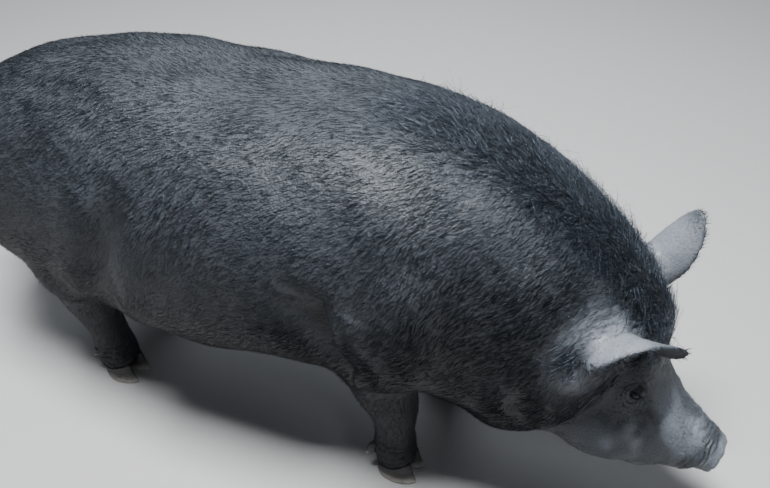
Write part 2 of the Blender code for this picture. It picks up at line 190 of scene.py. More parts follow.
# ---------------------------------------------------------------- shader maths
class Signal:
    """One output of a shader node, which can be used in sums."""

    def __init__(self, paint: "Paint", socket: bpy.types.NodeSocket) -> None:
        """Wraps a socket of a paint's node tree."""
        self.paint = paint
        self.socket = socket

    def _math(self, operation: str, *values: "Signal | float") -> "Signal":
        """Adds a Math node.

        Args:
            operation: The node's operation.
            values: Its inputs, in order.

        Returns:
            The node's result.
        """
        settings = {"operation": operation}
        node = self.paint.node("ShaderNodeMath", settings, dict(enumerate(values)))
        return Signal(self.paint, node.outputs[0])

    def __add__(self, other: "Signal | float") -> "Signal":
        """self + other."""
        return self._math("ADD", self, other)

    __radd__ = __add__

    def __mul__(self, other: "Signal | float") -> "Signal":
        """self * other."""
        return self._math("MULTIPLY", self, other)

    __rmul__ = __mul__

    def __sub__(self, other: "Signal | float") -> "Signal":
        """self - other."""
        return self._math("SUBTRACT", self, other)

    def __rsub__(self, other: float) -> "Signal":
        """other - self."""
        return self._math("SUBTRACT", other, self)

    def between(self, low: float, high: float) -> "Signal":
        """Goes smoothly from 0 to 1.

        Args:
            low: The value at which the result leaves 0.
            high: The value at which it reaches 1.

        Returns:
            The result.
        """
        settings = {"interpolation_type": "SMOOTHSTEP"}
        values = {"Value": self, "From Min": low, "From Max": high}
        node = self.paint.node("ShaderNodeMapRange", settings, values)
        return Signal(self.paint, node.outputs["Result"])


class Paint:
    """A material's node tree, with short ways to add to it."""

    def __init__(self, name: str) -> None:
        """Starts a material that has only its shader.

        Args:
            name: The material's name.
        """
        self.material = bpy.data.materials.new(name)
        self.material.use_nodes = True
        self.tree = self.material.node_tree
        self.shader = self.tree.nodes["Principled BSDF"]

    def node(self, kind: str, settings: dict, values: dict) -> bpy.types.Node:
        """Adds a node.

        Args:
            kind: Its type.
            settings: Its properties, which are set first.
            values: Numbers, colours or signals for its inputs, by name or index.

        Returns:
            The node.
        """
        made = self.tree.nodes.new(kind)
        for name, value in settings.items():
            setattr(made, name, value)
        for name, value in values.items():
            self.put(made.inputs[name], value)
        return made

    def put(self, socket: bpy.types.NodeSocket, value: object) -> None:
        """Links a signal to an input, or sets a number or colour on it.

        Args:
            socket: The input.
            value: A signal, a number or a colour.
        """
        if isinstance(value, Signal):
            self.tree.links.new(value.socket, socket)
        elif isinstance(value, tuple) and len(value) == 3 and socket.type == "RGBA":
            socket.default_value = (*value, 1.0)
        else:
            socket.default_value = value

    def shade(self, **values: object) -> None:
        """Sets inputs of the shader, with spaces in their names written as _."""
        for name, value in values.items():
            self.put(self.shader.inputs[name.replace("_", " ")], value)

    def spot(self) -> Signal:
        """Where on the pig a point is, in metres."""
        return Signal(self, self.node("ShaderNodeTexCoord", {}, {}).outputs["Object"])

    def mark(self, name: str) -> Signal:
        """A number that the mesh holds at each of its points."""
        node = self.node("ShaderNodeAttribute", {"attribute_name": name}, {})
        return Signal(self, node.outputs["Fac"])

    def noise(self, place: Signal, size: float, detail: float = 3.0) -> Signal:
        """Cloudy numbers from 0 to 1, with patches of about a size."""
        values = {"Vector": place, "Scale": 1.0 / size, "Detail": detail}
        return Signal(self, self.node("ShaderNodeTexNoise", {}, values).outputs["Fac"])

    def cells(self, place: Signal, size: float) -> Signal:
        """How far it is to the middle of the nearest of many small cells."""
        values = {"Vector": place, "Scale": 1.0 / size}
        return Signal(self, self.node("ShaderNodeTexVoronoi", {}, values).outputs["Distance"])

    def stretched(self, place: Signal, scale: Point) -> Signal:
        """Stretches a place along the three axes.

        Args:
            place: The place.
            scale: By how much along each axis.

        Returns:
            The stretched place.
        """
        settings = {"operation": "MULTIPLY"}
        node = self.node("ShaderNodeVectorMath", settings, {0: place, 1: scale})
        return Signal(self, node.outputs[0])

    def mix(self, share: Signal, low: Signal | Color, high: Signal | Color) -> Signal:
        """A colour between two, by a share."""
        node = self.node("ShaderNodeMix", {"data_type": "RGBA"}, {0: share, 6: low, 7: high})
        return Signal(self, node.outputs[2])

    def relief(self, height: Signal, distance: float, strength: float) -> Signal:
        """A bumped normal from heights from 0 to 1."""
        values = {"Height": height, "Distance": distance, "Strength": strength}
        return Signal(self, self.node("ShaderNodeBump", {}, values).outputs["Normal"])


# ---------------------------------------------------------------- finishes
@dataclass(frozen=True)
class HideFinish:
    """Black skin, greyer where little hair grows on it, with shade painted in its creases, down the legs and
    on its underside.
    """

    black: Color = (0.018, 0.021, 0.026)
    slate: Color = (0.036, 0.042, 0.050)
    ash: Color = (0.165, 0.180, 0.205)
    soot: Color = (0.006, 0.006, 0.007)
    dust: Color = (0.110, 0.105, 0.100)

    def material(self) -> bpy.types.Material:
        """Makes it from the skin's marks: how bare and pale it is, and how much shade is painted on it.

        Returns:
            The material.
        """
        paint = Paint("pig_skin")
        place = paint.spot()
        bare, pale, crease = paint.mark("bare"), paint.mark("pale"), paint.mark("crease")
        cloud = paint.noise(place, 0.045, 4.0)
        grain = paint.noise(place, 0.0042, 3.0)
        pores = paint.cells(place, 0.0034)
        tone = paint.mix(bare * (0.55 + 0.9 * cloud), self.black, self.slate)
        tone = paint.mix(pale * (0.70 + 0.55 * cloud), tone, self.ash)
        # Shade painted in the folds, wrinkles, nostrils and round the lids, down the legs and on the
        # underside.
        tone = paint.mix(crease, tone, self.soot)
        dirty = (cloud * grain).between(0.24, 0.46) * bare * 0.22
        tone = paint.mix(dirty, tone, self.dust)
        cracks = pores.between(0.42, 0.78)
        # Shade painted in the fine cracks between the pores.
        tone = paint.mix(cracks * bare * (1.0 - pale) * 0.45, tone, self.soot)
        height = (grain * 0.5 + (1.0 - cracks) * 0.5) * (1.0 - 0.6 * pale)
        paint.shade(
            Base_Color=tone,
            Roughness=0.50 - 0.10 * bare + 0.16 * grain,
            Specular_IOR_Level=0.28,
            Normal=paint.relief(height, 0.0012, 0.55),
        )
        return paint.material


@dataclass(frozen=True)
class BristleFinish:
    """Glossy black bristles, some greyer, with a cold shine; the grey is partly a painted sheen."""

    black: Color = (0.0036, 0.0046, 0.0064)
    # The grey of the greyer tufts: partly their own, partly a painted sheen.
    steel: Color = (0.050, 0.062, 0.083)
    ash: Color = (0.120, 0.132, 0.155)
    gleam: Color = (0.70, 0.84, 1.00)
    shine: float = 0.55
    name: str = "pig_bristle"

    def material(self) -> bpy.types.Material:
        """Makes it from each tuft's tone, which carries painted shade, and how pale its place is.

        Returns:
            The material.
        """
        paint = Paint(self.name)
        tone, pale, along = paint.mark("tone"), paint.mark("pale"), paint.mark("along")
        streak = paint.noise(paint.spot(), 0.012, 2.0)
        color = paint.mix(tone * (0.35 + 0.65 * along), self.black, self.steel)
        color = paint.mix(pale * (0.45 + 0.5 * streak), color, self.ash)
        paint.shade(
            Base_Color=color,
            Roughness=0.40 - 0.12 * tone,
            Specular_IOR_Level=self.shine,
            Specular_Tint=self.gleam,
        )
        return paint.material


@dataclass(frozen=True)
class HornFinish:
    """Dull horn, pale at the toe and dark at the coronet, with growth lines."""

    pale: Color = (0.340, 0.320, 0.292)
    dark: Color = (0.024, 0.023, 0.024)

    def material(self) -> bpy.types.Material:
        """Makes it by height over the sole.

        Returns:
            The material.
        """
        paint = Paint("pig_horn")
        place = paint.spot()
        height = paint.mark("height")
        lines = paint.noise(paint.stretched(place, (0.25, 0.25, 2.2)), 0.006, 2.0)
        stain = paint.noise(place, 0.014, 4.0)
        color = paint.mix((height + 0.35 * (stain - 0.5)).between(-0.02, 0.46), self.pale, self.dark)
        color = paint.mix(lines.between(0.50, 0.72) * 0.35, color, self.dark)
        paint.shade(
            Base_Color=color,
            Roughness=0.42 + 0.22 * stain,
            Specular_IOR_Level=0.40,
            Normal=paint.relief(lines + 0.4 * stain, 0.0010, 0.5),
        )
        return paint.material


@dataclass(frozen=True)
class EyeFinish:
    """A wet, very dark brown eye."""

    pupil: Color = (0.002, 0.002, 0.003)
    iris: Color = (0.016, 0.009, 0.006)
    white: Color = (0.030, 0.022, 0.019)

    def material(self) -> bpy.types.Material:
        """Makes it from how far a point is from the middle of the gaze.

        Returns:
            The material.
        """
        paint = Paint("pig_eye")
        place = paint.spot()
        away = paint.mark("off_gaze")
        rays = paint.noise(place, 0.0012, 3.0)
        color = paint.mix(rays * 0.6 + 0.2, self.iris, self.pupil)
        color = paint.mix(away.between(0.22, 0.30), self.pupil, color)
        color = paint.mix(away.between(0.62, 0.74), color, self.white)
        paint.shade(
            Base_Color=color,
            Roughness=0.16 + 0.06 * rays,
            Specular_IOR_Level=0.22,
            Coat_Weight=0.25,
            Coat_Roughness=0.05,
        )
        return paint.material


@dataclass(frozen=True)
class FloorFinish:
    """A plain pale studio floor."""

    color: Color = (0.32, 0.32, 0.32)

    def material(self) -> bpy.types.Material:
        """Makes it nearly even, with a faint grain.

        Returns:
            The material.
        """
        paint = Paint("studio_floor")
        grain = paint.noise(paint.spot(), 0.02, 2.0)
        darker = tuple(0.94 * c for c in self.color)
        paint.shade(Base_Color=paint.mix(grain, darker, self.color), Roughness=0.85)
        return paint.material


# ---------------------------------------------------------------- meshes from arrays
def mesh_from(name: str, points: Array, triangles: Array) -> bpy.types.Mesh:
    """A smooth-shaded mesh of triangles.

    Args:
        name: The mesh's name.
        points: Its vertices, one row each.
        triangles: Three vertex numbers in each row.

    Returns:
        The mesh.
    """
    mesh = bpy.data.meshes.new(name)
    mesh.vertices.add(len(points))
    mesh.vertices.foreach_set("co", points.astype(np.float32).ravel())
    mesh.loops.add(triangles.size)
    mesh.loops.foreach_set("vertex_index", triangles.astype(np.int32).ravel())
    mesh.polygons.add(len(triangles))
    mesh.polygons.foreach_set("loop_start", np.arange(0, triangles.size, 3, dtype=np.int32))
    mesh.update(calc_edges=True)
    mesh.shade_smooth()
    return mesh


def linked(name: str, data: bpy.types.ID) -> bpy.types.Object:
    """Puts a mesh, light or camera in the scene.

    Args:
        name: The new object's name.
        data: What it shows.

    Returns:
        The object.
    """
    made = bpy.data.objects.new(name, data)
    bpy.context.scene.collection.objects.link(made)
    return made


def place(mesh: bpy.types.Mesh, name: str, look: bpy.types.Material) -> bpy.types.Object:
    """Puts a mesh in the scene with one material.

    Args:
        mesh: The mesh.
        name: The new object's name.
        look: Its material.

    Returns:
        The object.
    """
    mesh.materials.clear()
    mesh.materials.append(look)
    return linked(name, mesh)


def solid_shell(name: str) -> bmesh.types.BMesh:
    """One of the solids as a shell whose faces share their corners.

    Args:
        name: The solid's name.

    Returns:
        The shell, to be changed and freed.
    """
    shell = bmesh.new()
    shell.from_mesh(bpy.data.objects[name].data)
    bmesh.ops.remove_doubles(shell, verts=shell.verts, dist=SAME_SPOT)
    return shell


def mesh_of(shell: bmesh.types.BMesh, name: str) -> bpy.types.Mesh:
    """Turns a shell into a mesh and frees it.

    Args:
        shell: The shell.
        name: The mesh's name.

    Returns:
        The mesh.
    """
    mesh = bpy.data.meshes.new(name)
    shell.to_mesh(mesh)
    shell.free()
    return mesh


def write_mark(mesh: bpy.types.Mesh, name: str, values: Array) -> None:
    """Keeps one number for each vertex of a mesh."""
    mark = mesh.attributes.new(name, "FLOAT", "POINT")
    mark.data.foreach_set("value", values.astype(np.float32))


def points_of(mesh: bpy.types.Mesh) -> Array:
    """The vertices of a mesh.

    Args:
        mesh: The mesh.

    Returns:
        One row each.
    """
    found = np.zeros(len(mesh.vertices) * 3, np.float32)
    mesh.vertices.foreach_get("co", found)
    return found.reshape(-1, 3).astype(float)


def normals_of(mesh: bpy.types.Mesh) -> Array:
    """The vertex normals of a mesh.

    Args:
        mesh: The mesh.

    Returns:
        One row each.
    """
    found = np.zeros(len(mesh.vertices) * 3, np.float32)
    mesh.vertex_normals.foreach_get("vector", found)
    return found.reshape(-1, 3).astype(float)


def put_points(mesh: bpy.types.Mesh, points: Array) -> None:
    """Moves the vertices of a mesh."""
    mesh.vertices.foreach_set("co", points.astype(np.float32).ravel())
    mesh.update()


def edges_of(mesh: bpy.types.Mesh) -> Array:
    """The edges of a mesh.

    Args:
        mesh: The mesh.

    Returns:
        The numbers of the two ends of each.
    """
    found = np.zeros(len(mesh.edges) * 2, np.int32)
    mesh.edges.foreach_get("vertices", found)
    return found.reshape(-1, 2)


def even_out(points: Array, edges: Array, rounds: int, share: Array, give_back: float = 0.0) -> Array:
    """Smooths a mesh.

    Args:
        points: The mesh's vertices.
        edges: The two ends of each edge.
        rounds: How many times to smooth.
        share: How much each vertex takes part, from 0 to 1.
        give_back: How much of each step is undone, which keeps thin parts as thick as they are.

    Returns:
        The new places of the vertices.
    """
    count = len(points)
    start, end = edges.T
    degree = np.maximum(np.bincount(edges.ravel(), minlength=count), 1)
    steps = (SMOOTHING, -give_back) if give_back else (SMOOTHING,)
    for step in steps * rounds:
        mean = np.stack(
            [
                np.bincount(start, points[end, k], count) + np.bincount(end, points[start, k], count)
                for k in range(3)
            ],
            axis=1,
        )
        points = points + step * share[:, None] * (mean / degree[:, None] - points)
    return points


def voxel_mesh(shell: bpy.types.Mesh, voxel: float) -> bpy.types.Mesh:
    """Remeshes a closed shell evenly.

    Args:
        shell: The shell, whose parts may overlap.
        voxel: The size of the new faces.

    Returns:
        The new mesh.
    """
    made = linked("shell", shell)
    fuse = made.modifiers.new("fuse", "REMESH")
    fuse.mode = "VOXEL"
    fuse.voxel_size = voxel
    graph = bpy.context.evaluated_depsgraph_get()
    mesh = bpy.data.meshes.new_from_object(made.evaluated_get(graph))
    bpy.data.objects.remove(made)
    return mesh


# ---------------------------------------------------------------- where things are on the pig
@dataclass(frozen=True)
class HeadFrame:
    """Where the head is, how far it hangs and how far it turns, in degrees."""

    at: Point = (0.4954, -0.0003, 0.3000)
    pitch: float = 40.0
    turn: float = -4.0

    def matrix(self) -> Matrix:
        """Places the head.

        Returns:
            The way from the head's own frame to the pig's.
        """
        turn = Matrix.Rotation(math.radians(self.turn), 4, "Z")
        pitch = Matrix.Rotation(math.radians(self.pitch), 4, "Y")
        return Matrix.Translation(self.at) @ turn @ pitch

    def local(self, points: Array) -> Array:
        """Points of the pig in the head's own frame."""
        turn = np.array(self.matrix().to_3x3())
        return (points - np.array(self.at)) @ turn

    def outward(self, vectors: Iterable[float]) -> Array:
        """A direction of the head's frame in the pig's."""
        return np.array(self.matrix().to_3x3()) @ np.array(tuple(vectors))

    def spot(self, point: Iterable[float]) -> Array:
        """A point of the head's frame in the pig's."""
        return np.array(self.matrix() @ Vector(tuple(point)))


@dataclass(frozen=True)
class EarFrame:
    """Where an ear starts, points and faces, how it bends and twists in degrees, and its curl.

    It is rolled out of cross-sections: reaches is how far along the ear each is, as a share of
    its length, radii how widely it is rolled, and rolls how many degrees it spans to each side.
    """

    side: Side
    at: Point
    along: Point
    back: Point
    bend: float
    twist: float
    curl: float
    length: float = 0.150
    reaches: tuple[float, ...] = (0.0, 0.30, 0.58, 0.81, 0.94, 1.0)
    radii: tuple[float, ...] = (0.0287, 0.0384, 0.0422, 0.0375, 0.0258, 0.0143)
    rolls: tuple[float, ...] = (100.0, 88.0, 72.0, 55.0, 40.0, 20.0)

    def turn(self) -> Array:
        """The ear's own axes.

        Returns:
            Three rows: along, across and back.
        """
        along = unit(np.array(self.along))
        across = unit(np.cross(np.array(self.back), along))
        return np.stack([along, across, np.cross(along, across)])

    def reach(self, points: Array) -> Array:
        """How far along the ear points are, from 0 at the root to 1 at the tip."""
        return ((points - np.array(self.at)) @ self.turn().T)[:, 0] / self.length

    def sides(self, points: Array, normals: Array) -> tuple[Array, Array]:
        """Tells the ear's back from its hollow, and finds its rim.

        Args:
            points: Points of the ear's skin.
            normals: The skin's normals there.

        Returns:
            1 on the back and -1 in the hollow, and 1 on the rim down to 0 away from it.
        """
        local = (points - np.array(self.at)) @ self.turn().T
        facing = normals @ self.turn().T
        t = np.clip(local[:, 0] / self.length, 0.0, 1.0)
        radius = np.interp(t, self.reaches, self.radii) / self.curl
        turned = math.radians(self.twist) * t  # by how much the ear has twisted there
        sag = math.radians(self.bend) * t * t * self.length / 2.0
        middle = np.stack([radius * np.sin(turned), -radius * np.cos(turned) - sag], axis=1)
        out = unit(local[:, 1:] - middle)
        angle = np.arctan2(out[:, 0], out[:, 1]) + turned
        angle = np.abs((angle + math.pi) % math.tau - math.pi)
        widest = np.radians(np.interp(t, self.reaches, self.rolls)) * self.curl
        rim = np.maximum(smoothstep(angle / widest, 0.84, 0.97), smoothstep(t, 0.95, 1.0))
        return np.sign((out * facing[:, 1:]).sum(axis=1)), rim


EARS = (
    EarFrame(
        Side.RIGHT,
        at=(0.4434, -0.0903, 0.374),
        along=(0.80, -0.22, 0.50),
        back=(-0.50, -0.38, 0.80),
        bend=42.0,
        twist=-88.0,
        curl=0.85,
    ),
    EarFrame(
        Side.LEFT,
        at=(0.4914, 0.0737, 0.351),
        along=(0.55, 0.26, 0.79),
        back=(-0.60, -0.50, 0.60),
        bend=4.0,
        twist=0.0,
        curl=1.15,
    ),
)
EAR_MARGIN = 0.09  # round an ear's box, within which the skin is measured from it
EAR_NEAR = 0.2  # what counts as far from an ear
FEET = {"fore": (0.2254, 0.115), "hind": (-0.3196, 0.120)}  # x, and y out from the middle


@dataclass(frozen=True)
class Borders:
    """Where one part of the pig gives way to the next.

    A share is 0 at the first number of a span and 1 at the second. They are metres along one axis
    of the pig, or of the head for the parts of the head. A slope is how far a normal points up.
    """

    nape: Point = (0.463, 0.0, 0.255)
    nape_way: Point = (0.78, 0.0, -0.63)  # from the neck into the head
    head: Span = (-0.020, 0.045)  # along that way
    tail: Span = (-0.607, -0.622)
    leg_radii: Span = (0.085, 0.075)  # lengthwise and across
    leg: Span = (1.25, 0.85)  # in those radii
    leg_top: Span = (0.250, 0.165)
    belly_slope: Span = (-0.35, -0.85)
    belly_front: Span = (0.34, 0.26)
    belly_rear: Span = (-0.44, -0.36)
    crest_side: Span = (0.085, 0.020)
    crest_slope: Span = (0.25, 0.65)
    crest_rear: Span = (0.10, 0.30)
    face: Span = (-0.010, 0.050)
    muzzle: Span = (0.090, 0.150)
    disc: Span = (0.214, 0.222)
    poll_front: Span = (0.070, 0.010)
    poll_low: Span = (0.035, 0.070)
    poll_side: Span = (0.085, 0.045)
    cheek_front: Span = (0.150, 0.090)
    cheek_side: Span = (0.040, 0.070)
    tuft: Point = (0.474, 0.134, 0.376)  # of black hair at the outer root of the left ear
    tuft_radius: float = 0.018
    ear_skin: float = 0.010  # how far at most the skin of an ear is from the solid one
    ear_flesh: Span = (0.000, 0.008)  # how much further it is from the flesh
    root: Span = (0.072, 0.008)  # round the root of an ear, in metres from it
    root_front: Span = (-0.090, -0.050)
    root_side: Span = (0.038, 0.064)
    # Shade is painted below this span, down the flanks, and higher up under the neck.
    under: Span = (0.44, 0.27)  # down the flanks
    under_rise: float = 0.11  # how much higher that is on the neck
    under_neck: Span = (0.16, 0.34)


@dataclass
class Anatomy:
    """Which part of the pig each point of its skin belongs to, as shares from 0 to 1.

    Every field has one number for each point, and local holds the points in the head's frame.
    """

    points: Array
    normals: Array
    head_frame: HeadFrame = field(default_factory=HeadFrame)
    at: Borders = Borders()

    def __post_init__(self) -> None:
        """Works out every share."""
        points, at = self.points, self.at
        slope = self.normals[:, 2]
        x, y, z = points.T
        aside = np.abs(y)
        self.thin = np.zeros(len(points))  # where creases leave little room for hair
        self.local = self.head_frame.local(points)
        self._ears()
        cut = (points - np.array(at.nape)) @ np.array(at.nape_way)
        self.head = smoothstep(cut, *at.head) * (1.0 - self.ear)
        self.tail = smoothstep(x, *at.tail)
        self.leg = np.zeros(len(points))
        long, wide = at.leg_radii
        for foot_x, foot_y in FEET.values():
            near = np.hypot((x - foot_x) / long, (aside - foot_y) / wide)
            self.leg = np.maximum(self.leg, smoothstep(near, *at.leg))
        self.leg *= smoothstep(z, *at.leg_top)
        self.belly = smoothstep(slope, *at.belly_slope) * smoothstep(x, *at.belly_front)
        self.belly *= (1.0 - self.leg) * smoothstep(x, *at.belly_rear)
        crest = smoothstep(aside, *at.crest_side) * smoothstep(slope, *at.crest_slope)
        self.crest = crest * smoothstep(x, *at.crest_rear) * (1.0 - self.ear) * (1.0 - self.head)
        tuft = np.stack([x, aside, z], axis=1) - at.tuft
        self.tuft = hump(np.linalg.norm(tuft, axis=1), 0.0, at.tuft_radius) * (1.0 - self.ear)
        self._face()

    def _face(self) -> None:
        """Finds the parts of the head."""
        at = self.at
        hx, hy, hz = self.local.T
        aside = np.abs(hy)
        self.face = self.head * smoothstep(hx, *at.face)
        self.muzzle = self.head * smoothstep(hx, *at.muzzle)
        self.disc = self.head * smoothstep(hx, *at.disc)
        self.poll = self.head * smoothstep(hx, *at.poll_front) * smoothstep(hz, *at.poll_low)
        self.poll *= smoothstep(aside, *at.poll_side)
        self.cheek = self.face * smoothstep(hx, *at.cheek_front) * smoothstep(aside, *at.cheek_side)

    @property
    def ear(self) -> Array:
        """The skin of both ears, back and hollow."""
        return np.maximum(self.ear_back, self.ear_inside)

    def _ears(self) -> None:
        """Finds the skin of the ears, how far along them it is, and how far off they are."""
        points, at, count = self.points, self.at, len(self.points)
        self.ear_back, self.ear_inside, self.ear_rim = (np.zeros(count) for _ in range(3))
        self.ear_reach, self.ear_gap, self.rooted = np.zeros(count), np.full(count, EAR_NEAR), np.zeros(count)
        flesh = [tree_of(name) for name in ("head", "neck", "trunk")]
        for ear in EARS:
            low, high = (np.array(c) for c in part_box(f"ear_{ear.side.word}"))
            inside = np.all((points > low - EAR_MARGIN) & (points < high + EAR_MARGIN), axis=1)
            which = np.nonzero(inside)[0]
            gap = distances(tree_of(f"ear_{ear.side.word}"), points[which])
            self.ear_gap[which] = np.minimum(self.ear_gap[which], gap)
            behind = (points[which] - np.array(ear.at)) @ unit(np.array(ear.back))
            close = smoothstep(gap, *at.root) * smoothstep(behind, *at.root_front)
            self.rooted[which] = np.maximum(self.rooted[which], close)
            which, gap = which[gap < at.ear_skin], gap[gap < at.ear_skin]
            off_flesh = np.min([distances(tree, points[which]) for tree in flesh], axis=0)
            share = smoothstep(off_flesh - gap, *at.ear_flesh)
            side, rim = ear.sides(points[which], self.normals[which])
            self.ear_back[which] = share * (side > 0)
            self.ear_inside[which] = share * (side <= 0)
            self.ear_rim[which] = share * rim
            self.ear_reach[which] = ear.reach(points[which])
        self.rooted *= smoothstep(np.abs(points[:, 1]), *at.root_side)

    def take_ears(self, other: "Anatomy") -> None:
        """Takes over which skin is of the ears, as it was before the skin moved."""
        self.ear_back, self.ear_inside, self.ear_rim = other.ear_back, other.ear_inside, other.ear_rim


def tree_of(name: str) -> BVHTree:
    """Makes one of the solids searchable.

    Args:
        name: The solid's name.

    Returns:
        A search tree of its faces.
    """
    mesh = bpy.data.objects[name].data
    points = [v.co for v in mesh.vertices]
    return BVHTree.FromPolygons(points, [tuple(p.vertices) for p in mesh.polygons])


def distances(tree: BVHTree, points: Array) -> Array:
    """How far each point is from a solid's surface."""
    return np.array([tree.find_nearest(Vector(p))[3] for p in points])


# ---------------------------------------------------------------- the skin
@dataclass(frozen=True)
class Fold:
    """A soft fold of the skin along a line: how wide and deep, and how far its lips stand out.

    behind is how many times wider it is on its rear side, where it then has no lip, broad how
    many times wider its lips are, fade the share of the line on which it starts, tapers whether
    it ends in the same way, and dark how strongly shade is painted in it.
    """

    line: tuple[Point, ...]
    width: float
    depth: float
    lip: float = 0.0
    behind: float = 1.0
    broad: float = 1.0
    fade: float = 0.12
    tapers: bool = False
    dark: float = 1.0

    def push(self, points: Array) -> tuple[Array, Array]:
        """How far the fold moves the skin out.

        Args:
            points: Points of the skin, in the frame of the fold's line.

        Returns:
            The move along the normal for each point, and how deep in the fold it lies, which sets the shade
            painted there.
        """
        off, along = line_offset(points, self.line)
        rear = smoothstep(off[:, 0], 0.5 * self.width, -0.5 * self.width) * (self.behind > 1.0)
        away = np.linalg.norm(off, axis=1) / self.width
        groove = hump(away, 0.0, 1.0 + (self.behind - 1.0) * rear)
        lips = hump(away / self.broad, 1.9, 1.0) * (1.0 - rear)
        crease = hump(away, 0.0, 1.0 + 0.4 * (self.behind - 1.0) * rear)
        start = smoothstep(along, 0.0, self.fade)
        if self.tapers:
            start *= smoothstep(along, 1.0, 1.0 - self.fade)
        return start * (self.lip * lips - self.depth * groove), start * crease * self.dark


ELBOW_FOLD = Fold(
    (
        (0.170, -0.222, 0.440),
        (0.161, -0.223, 0.418),
        (0.158, -0.224, 0.390),
        (0.162, -0.223, 0.360),
        (0.174, -0.220, 0.335),
        (0.194, -0.205, 0.308),
    ),
    width=0.0090,
    depth=0.024,
    lip=0.006,
    behind=5.0,
    broad=2.2,
    fade=0.45,
)
FLANK_FOLD = Fold(
    (
        (-0.168, -0.193, 0.524),
        (-0.165, -0.215, 0.490),
        (-0.170, -0.229, 0.455),
        (-0.182, -0.236, 0.415),
        (-0.192, -0.237, 0.375),
        (-0.202, -0.230, 0.330),
        (-0.220, -0.210, 0.280),
    ),
    width=0.027,
    depth=0.013,
    lip=0.005,
    fade=0.40,
    dark=0.45,
)
JOWL_FOLD = Fold(
    ((0.425, -0.168, 0.335), (0.414, -0.163, 0.290), (0.412, -0.155, 0.250)),
    width=0.016,
    depth=0.007,
    lip=0.003,
    fade=0.45,
    tapers=True,
)
THROAT_FOLD = Fold(
    ((0.375, -0.100, 0.185), (0.372, 0.0, 0.160), (0.375, 0.100, 0.185)),
    width=0.018,
    depth=0.006,
    lip=0.003,
    fade=0.45,
    tapers=True,
)
# The folds from here on are in the head's frame.
MOUTH = Fold(
    (
        (0.082, -0.090, -0.040),
        (0.110, -0.077, -0.052),
        (0.160, -0.055, -0.050),
        (0.195, -0.042, -0.042),
        (0.214, -0.028, -0.036),
        (0.221, 0.000, -0.033),
    ),
    width=0.0035,
    depth=0.0045,
    lip=0.0012,
)
CHEEK_FOLDS = (
    Fold(
        ((0.030, -0.108, -0.010), (0.070, -0.096, -0.022), (0.105, -0.078, -0.015)),
        width=0.007,
        depth=0.0030,
        lip=0.0015,
    ),
    Fold(
        ((0.020, -0.112, -0.040), (0.060, -0.102, -0.050), (0.085, -0.092, -0.060)),
        width=0.008,
        depth=0.0030,
        lip=0.0015,
    ),
    Fold(
        ((0.085, -0.062, 0.020), (0.120, -0.052, 0.004), (0.150, -0.050, -0.014)),
        width=0.006,
        depth=0.0020,
        lip=0.0010,
    ),
)


@dataclass(frozen=True)
class Snout:
    """The snout's disc in the head's frame, its nostrils and the wrinkles behind it."""

    at: Point = (0.228, 0.0, 0.004)
    tip: float = 20.0  # degrees that the disc leans back
    half_width: float = 0.034
    half_height: float = 0.026
    rim: float = 0.0016  # how far the disc's rim stands out
    dish: float = 0.0012  # how far its middle lies in
    nostril_out: float = 0.0125
    nostril: float = 0.0062
    nostril_depth: float = 0.015
    nostril_lip: float = 0.0013
    swell: float = 0.0026  # of the pad behind the disc
    lumps: float = 0.0009
    wrinkle: float = 0.0095  # from one wrinkle to the next
    wrinkle_height: float = 0.0009
    wander: float = 0.0048  # how far a wrinkle strays

    def lean(self) -> Array:
        """The turn from the disc's own axes to the head's."""
        return np.array(Matrix.Rotation(-math.radians(self.tip), 3, "Y"))

    def local(self, points: Array) -> Array:
        """Points of the head's frame in the disc's own: out, across and up."""
        return (points - np.array(self.at)) @ self.lean()

    def edge(self, across: Array, up: Array) -> Array:
        """How far from the disc's middle points are, with 1 at its edge."""
        return np.hypot(across / self.half_width, up / self.half_height)

    def shape(self, anatomy: Anatomy) -> tuple[Array, Array]:
        """The moves that carve the snout.

        Args:
            anatomy: The skin's points and their parts.

        Returns:
            A vector for each point in the pig's frame, and how deep in a crease it lies, which sets the shade
            painted in the nostrils and wrinkles.
        """
        out, across, up = self.local(anatomy.local).T
        edge = self.edge(across, up)
        share = anatomy.head * smoothstep(out, -0.004, 0.004)
        move = share * (self.rim * hump(edge, 0.86, 0.13) - self.dish * smoothstep(edge, 0.7, 0.2))
        crease = np.zeros(len(out))
        for side in Side:
            away = np.hypot((across - side.value * self.nostril_out) / 1.12, up + 0.001) / self.nostril
            hole = share * smoothstep(away, 1.12, 0.55)
            move -= hole * self.nostril_depth
            move += share * self.nostril_lip * hump(away, 1.5, 0.3)
            crease = np.maximum(crease, smoothstep(away, 1.0, 0.5) * share)
        axis = anatomy.head_frame.outward(self.lean() @ np.array((1.0, 0.0, 0.0)))
        moves = move[:, None] * axis
        lumpy = anatomy.head * smoothstep(out, -0.016, -0.006) * smoothstep(edge, 0.45, 0.85)
        lumps = self.lumps * lumpy * waves(anatomy.points, 0.015, Pattern.SNOUT_LUMPS)
        moves += lumps[:, None] * anatomy.normals
        pad = anatomy.head * hump(out, -0.010, 0.009) * smoothstep(anatomy.normals @ axis, 0.8, 0.3)
        moves += (self.swell * pad)[:, None] * anatomy.normals
        wander = self.wander * waves(anatomy.points, 0.034, Pattern.SNOUT_WANDER)
        phase = (out + wander) / self.wrinkle * math.tau
        behind = smoothstep(out, 0.004, -0.006) * smoothstep(out, -0.075, -0.030)
        upper = smoothstep(anatomy.local[:, 2], -0.045, -0.015)
        broken = smoothstep(waves(anatomy.points, 0.026, Pattern.SNOUT_BREAKS), -1.0, 0.6)
        ridge = anatomy.head * behind * upper * broken * np.cos(phase)
        moves += (self.wrinkle_height * ridge)[:, None] * anatomy.normals
        crease = np.maximum(crease, 0.50 * smoothstep(-ridge, 0.30, 1.00))
        return moves, crease


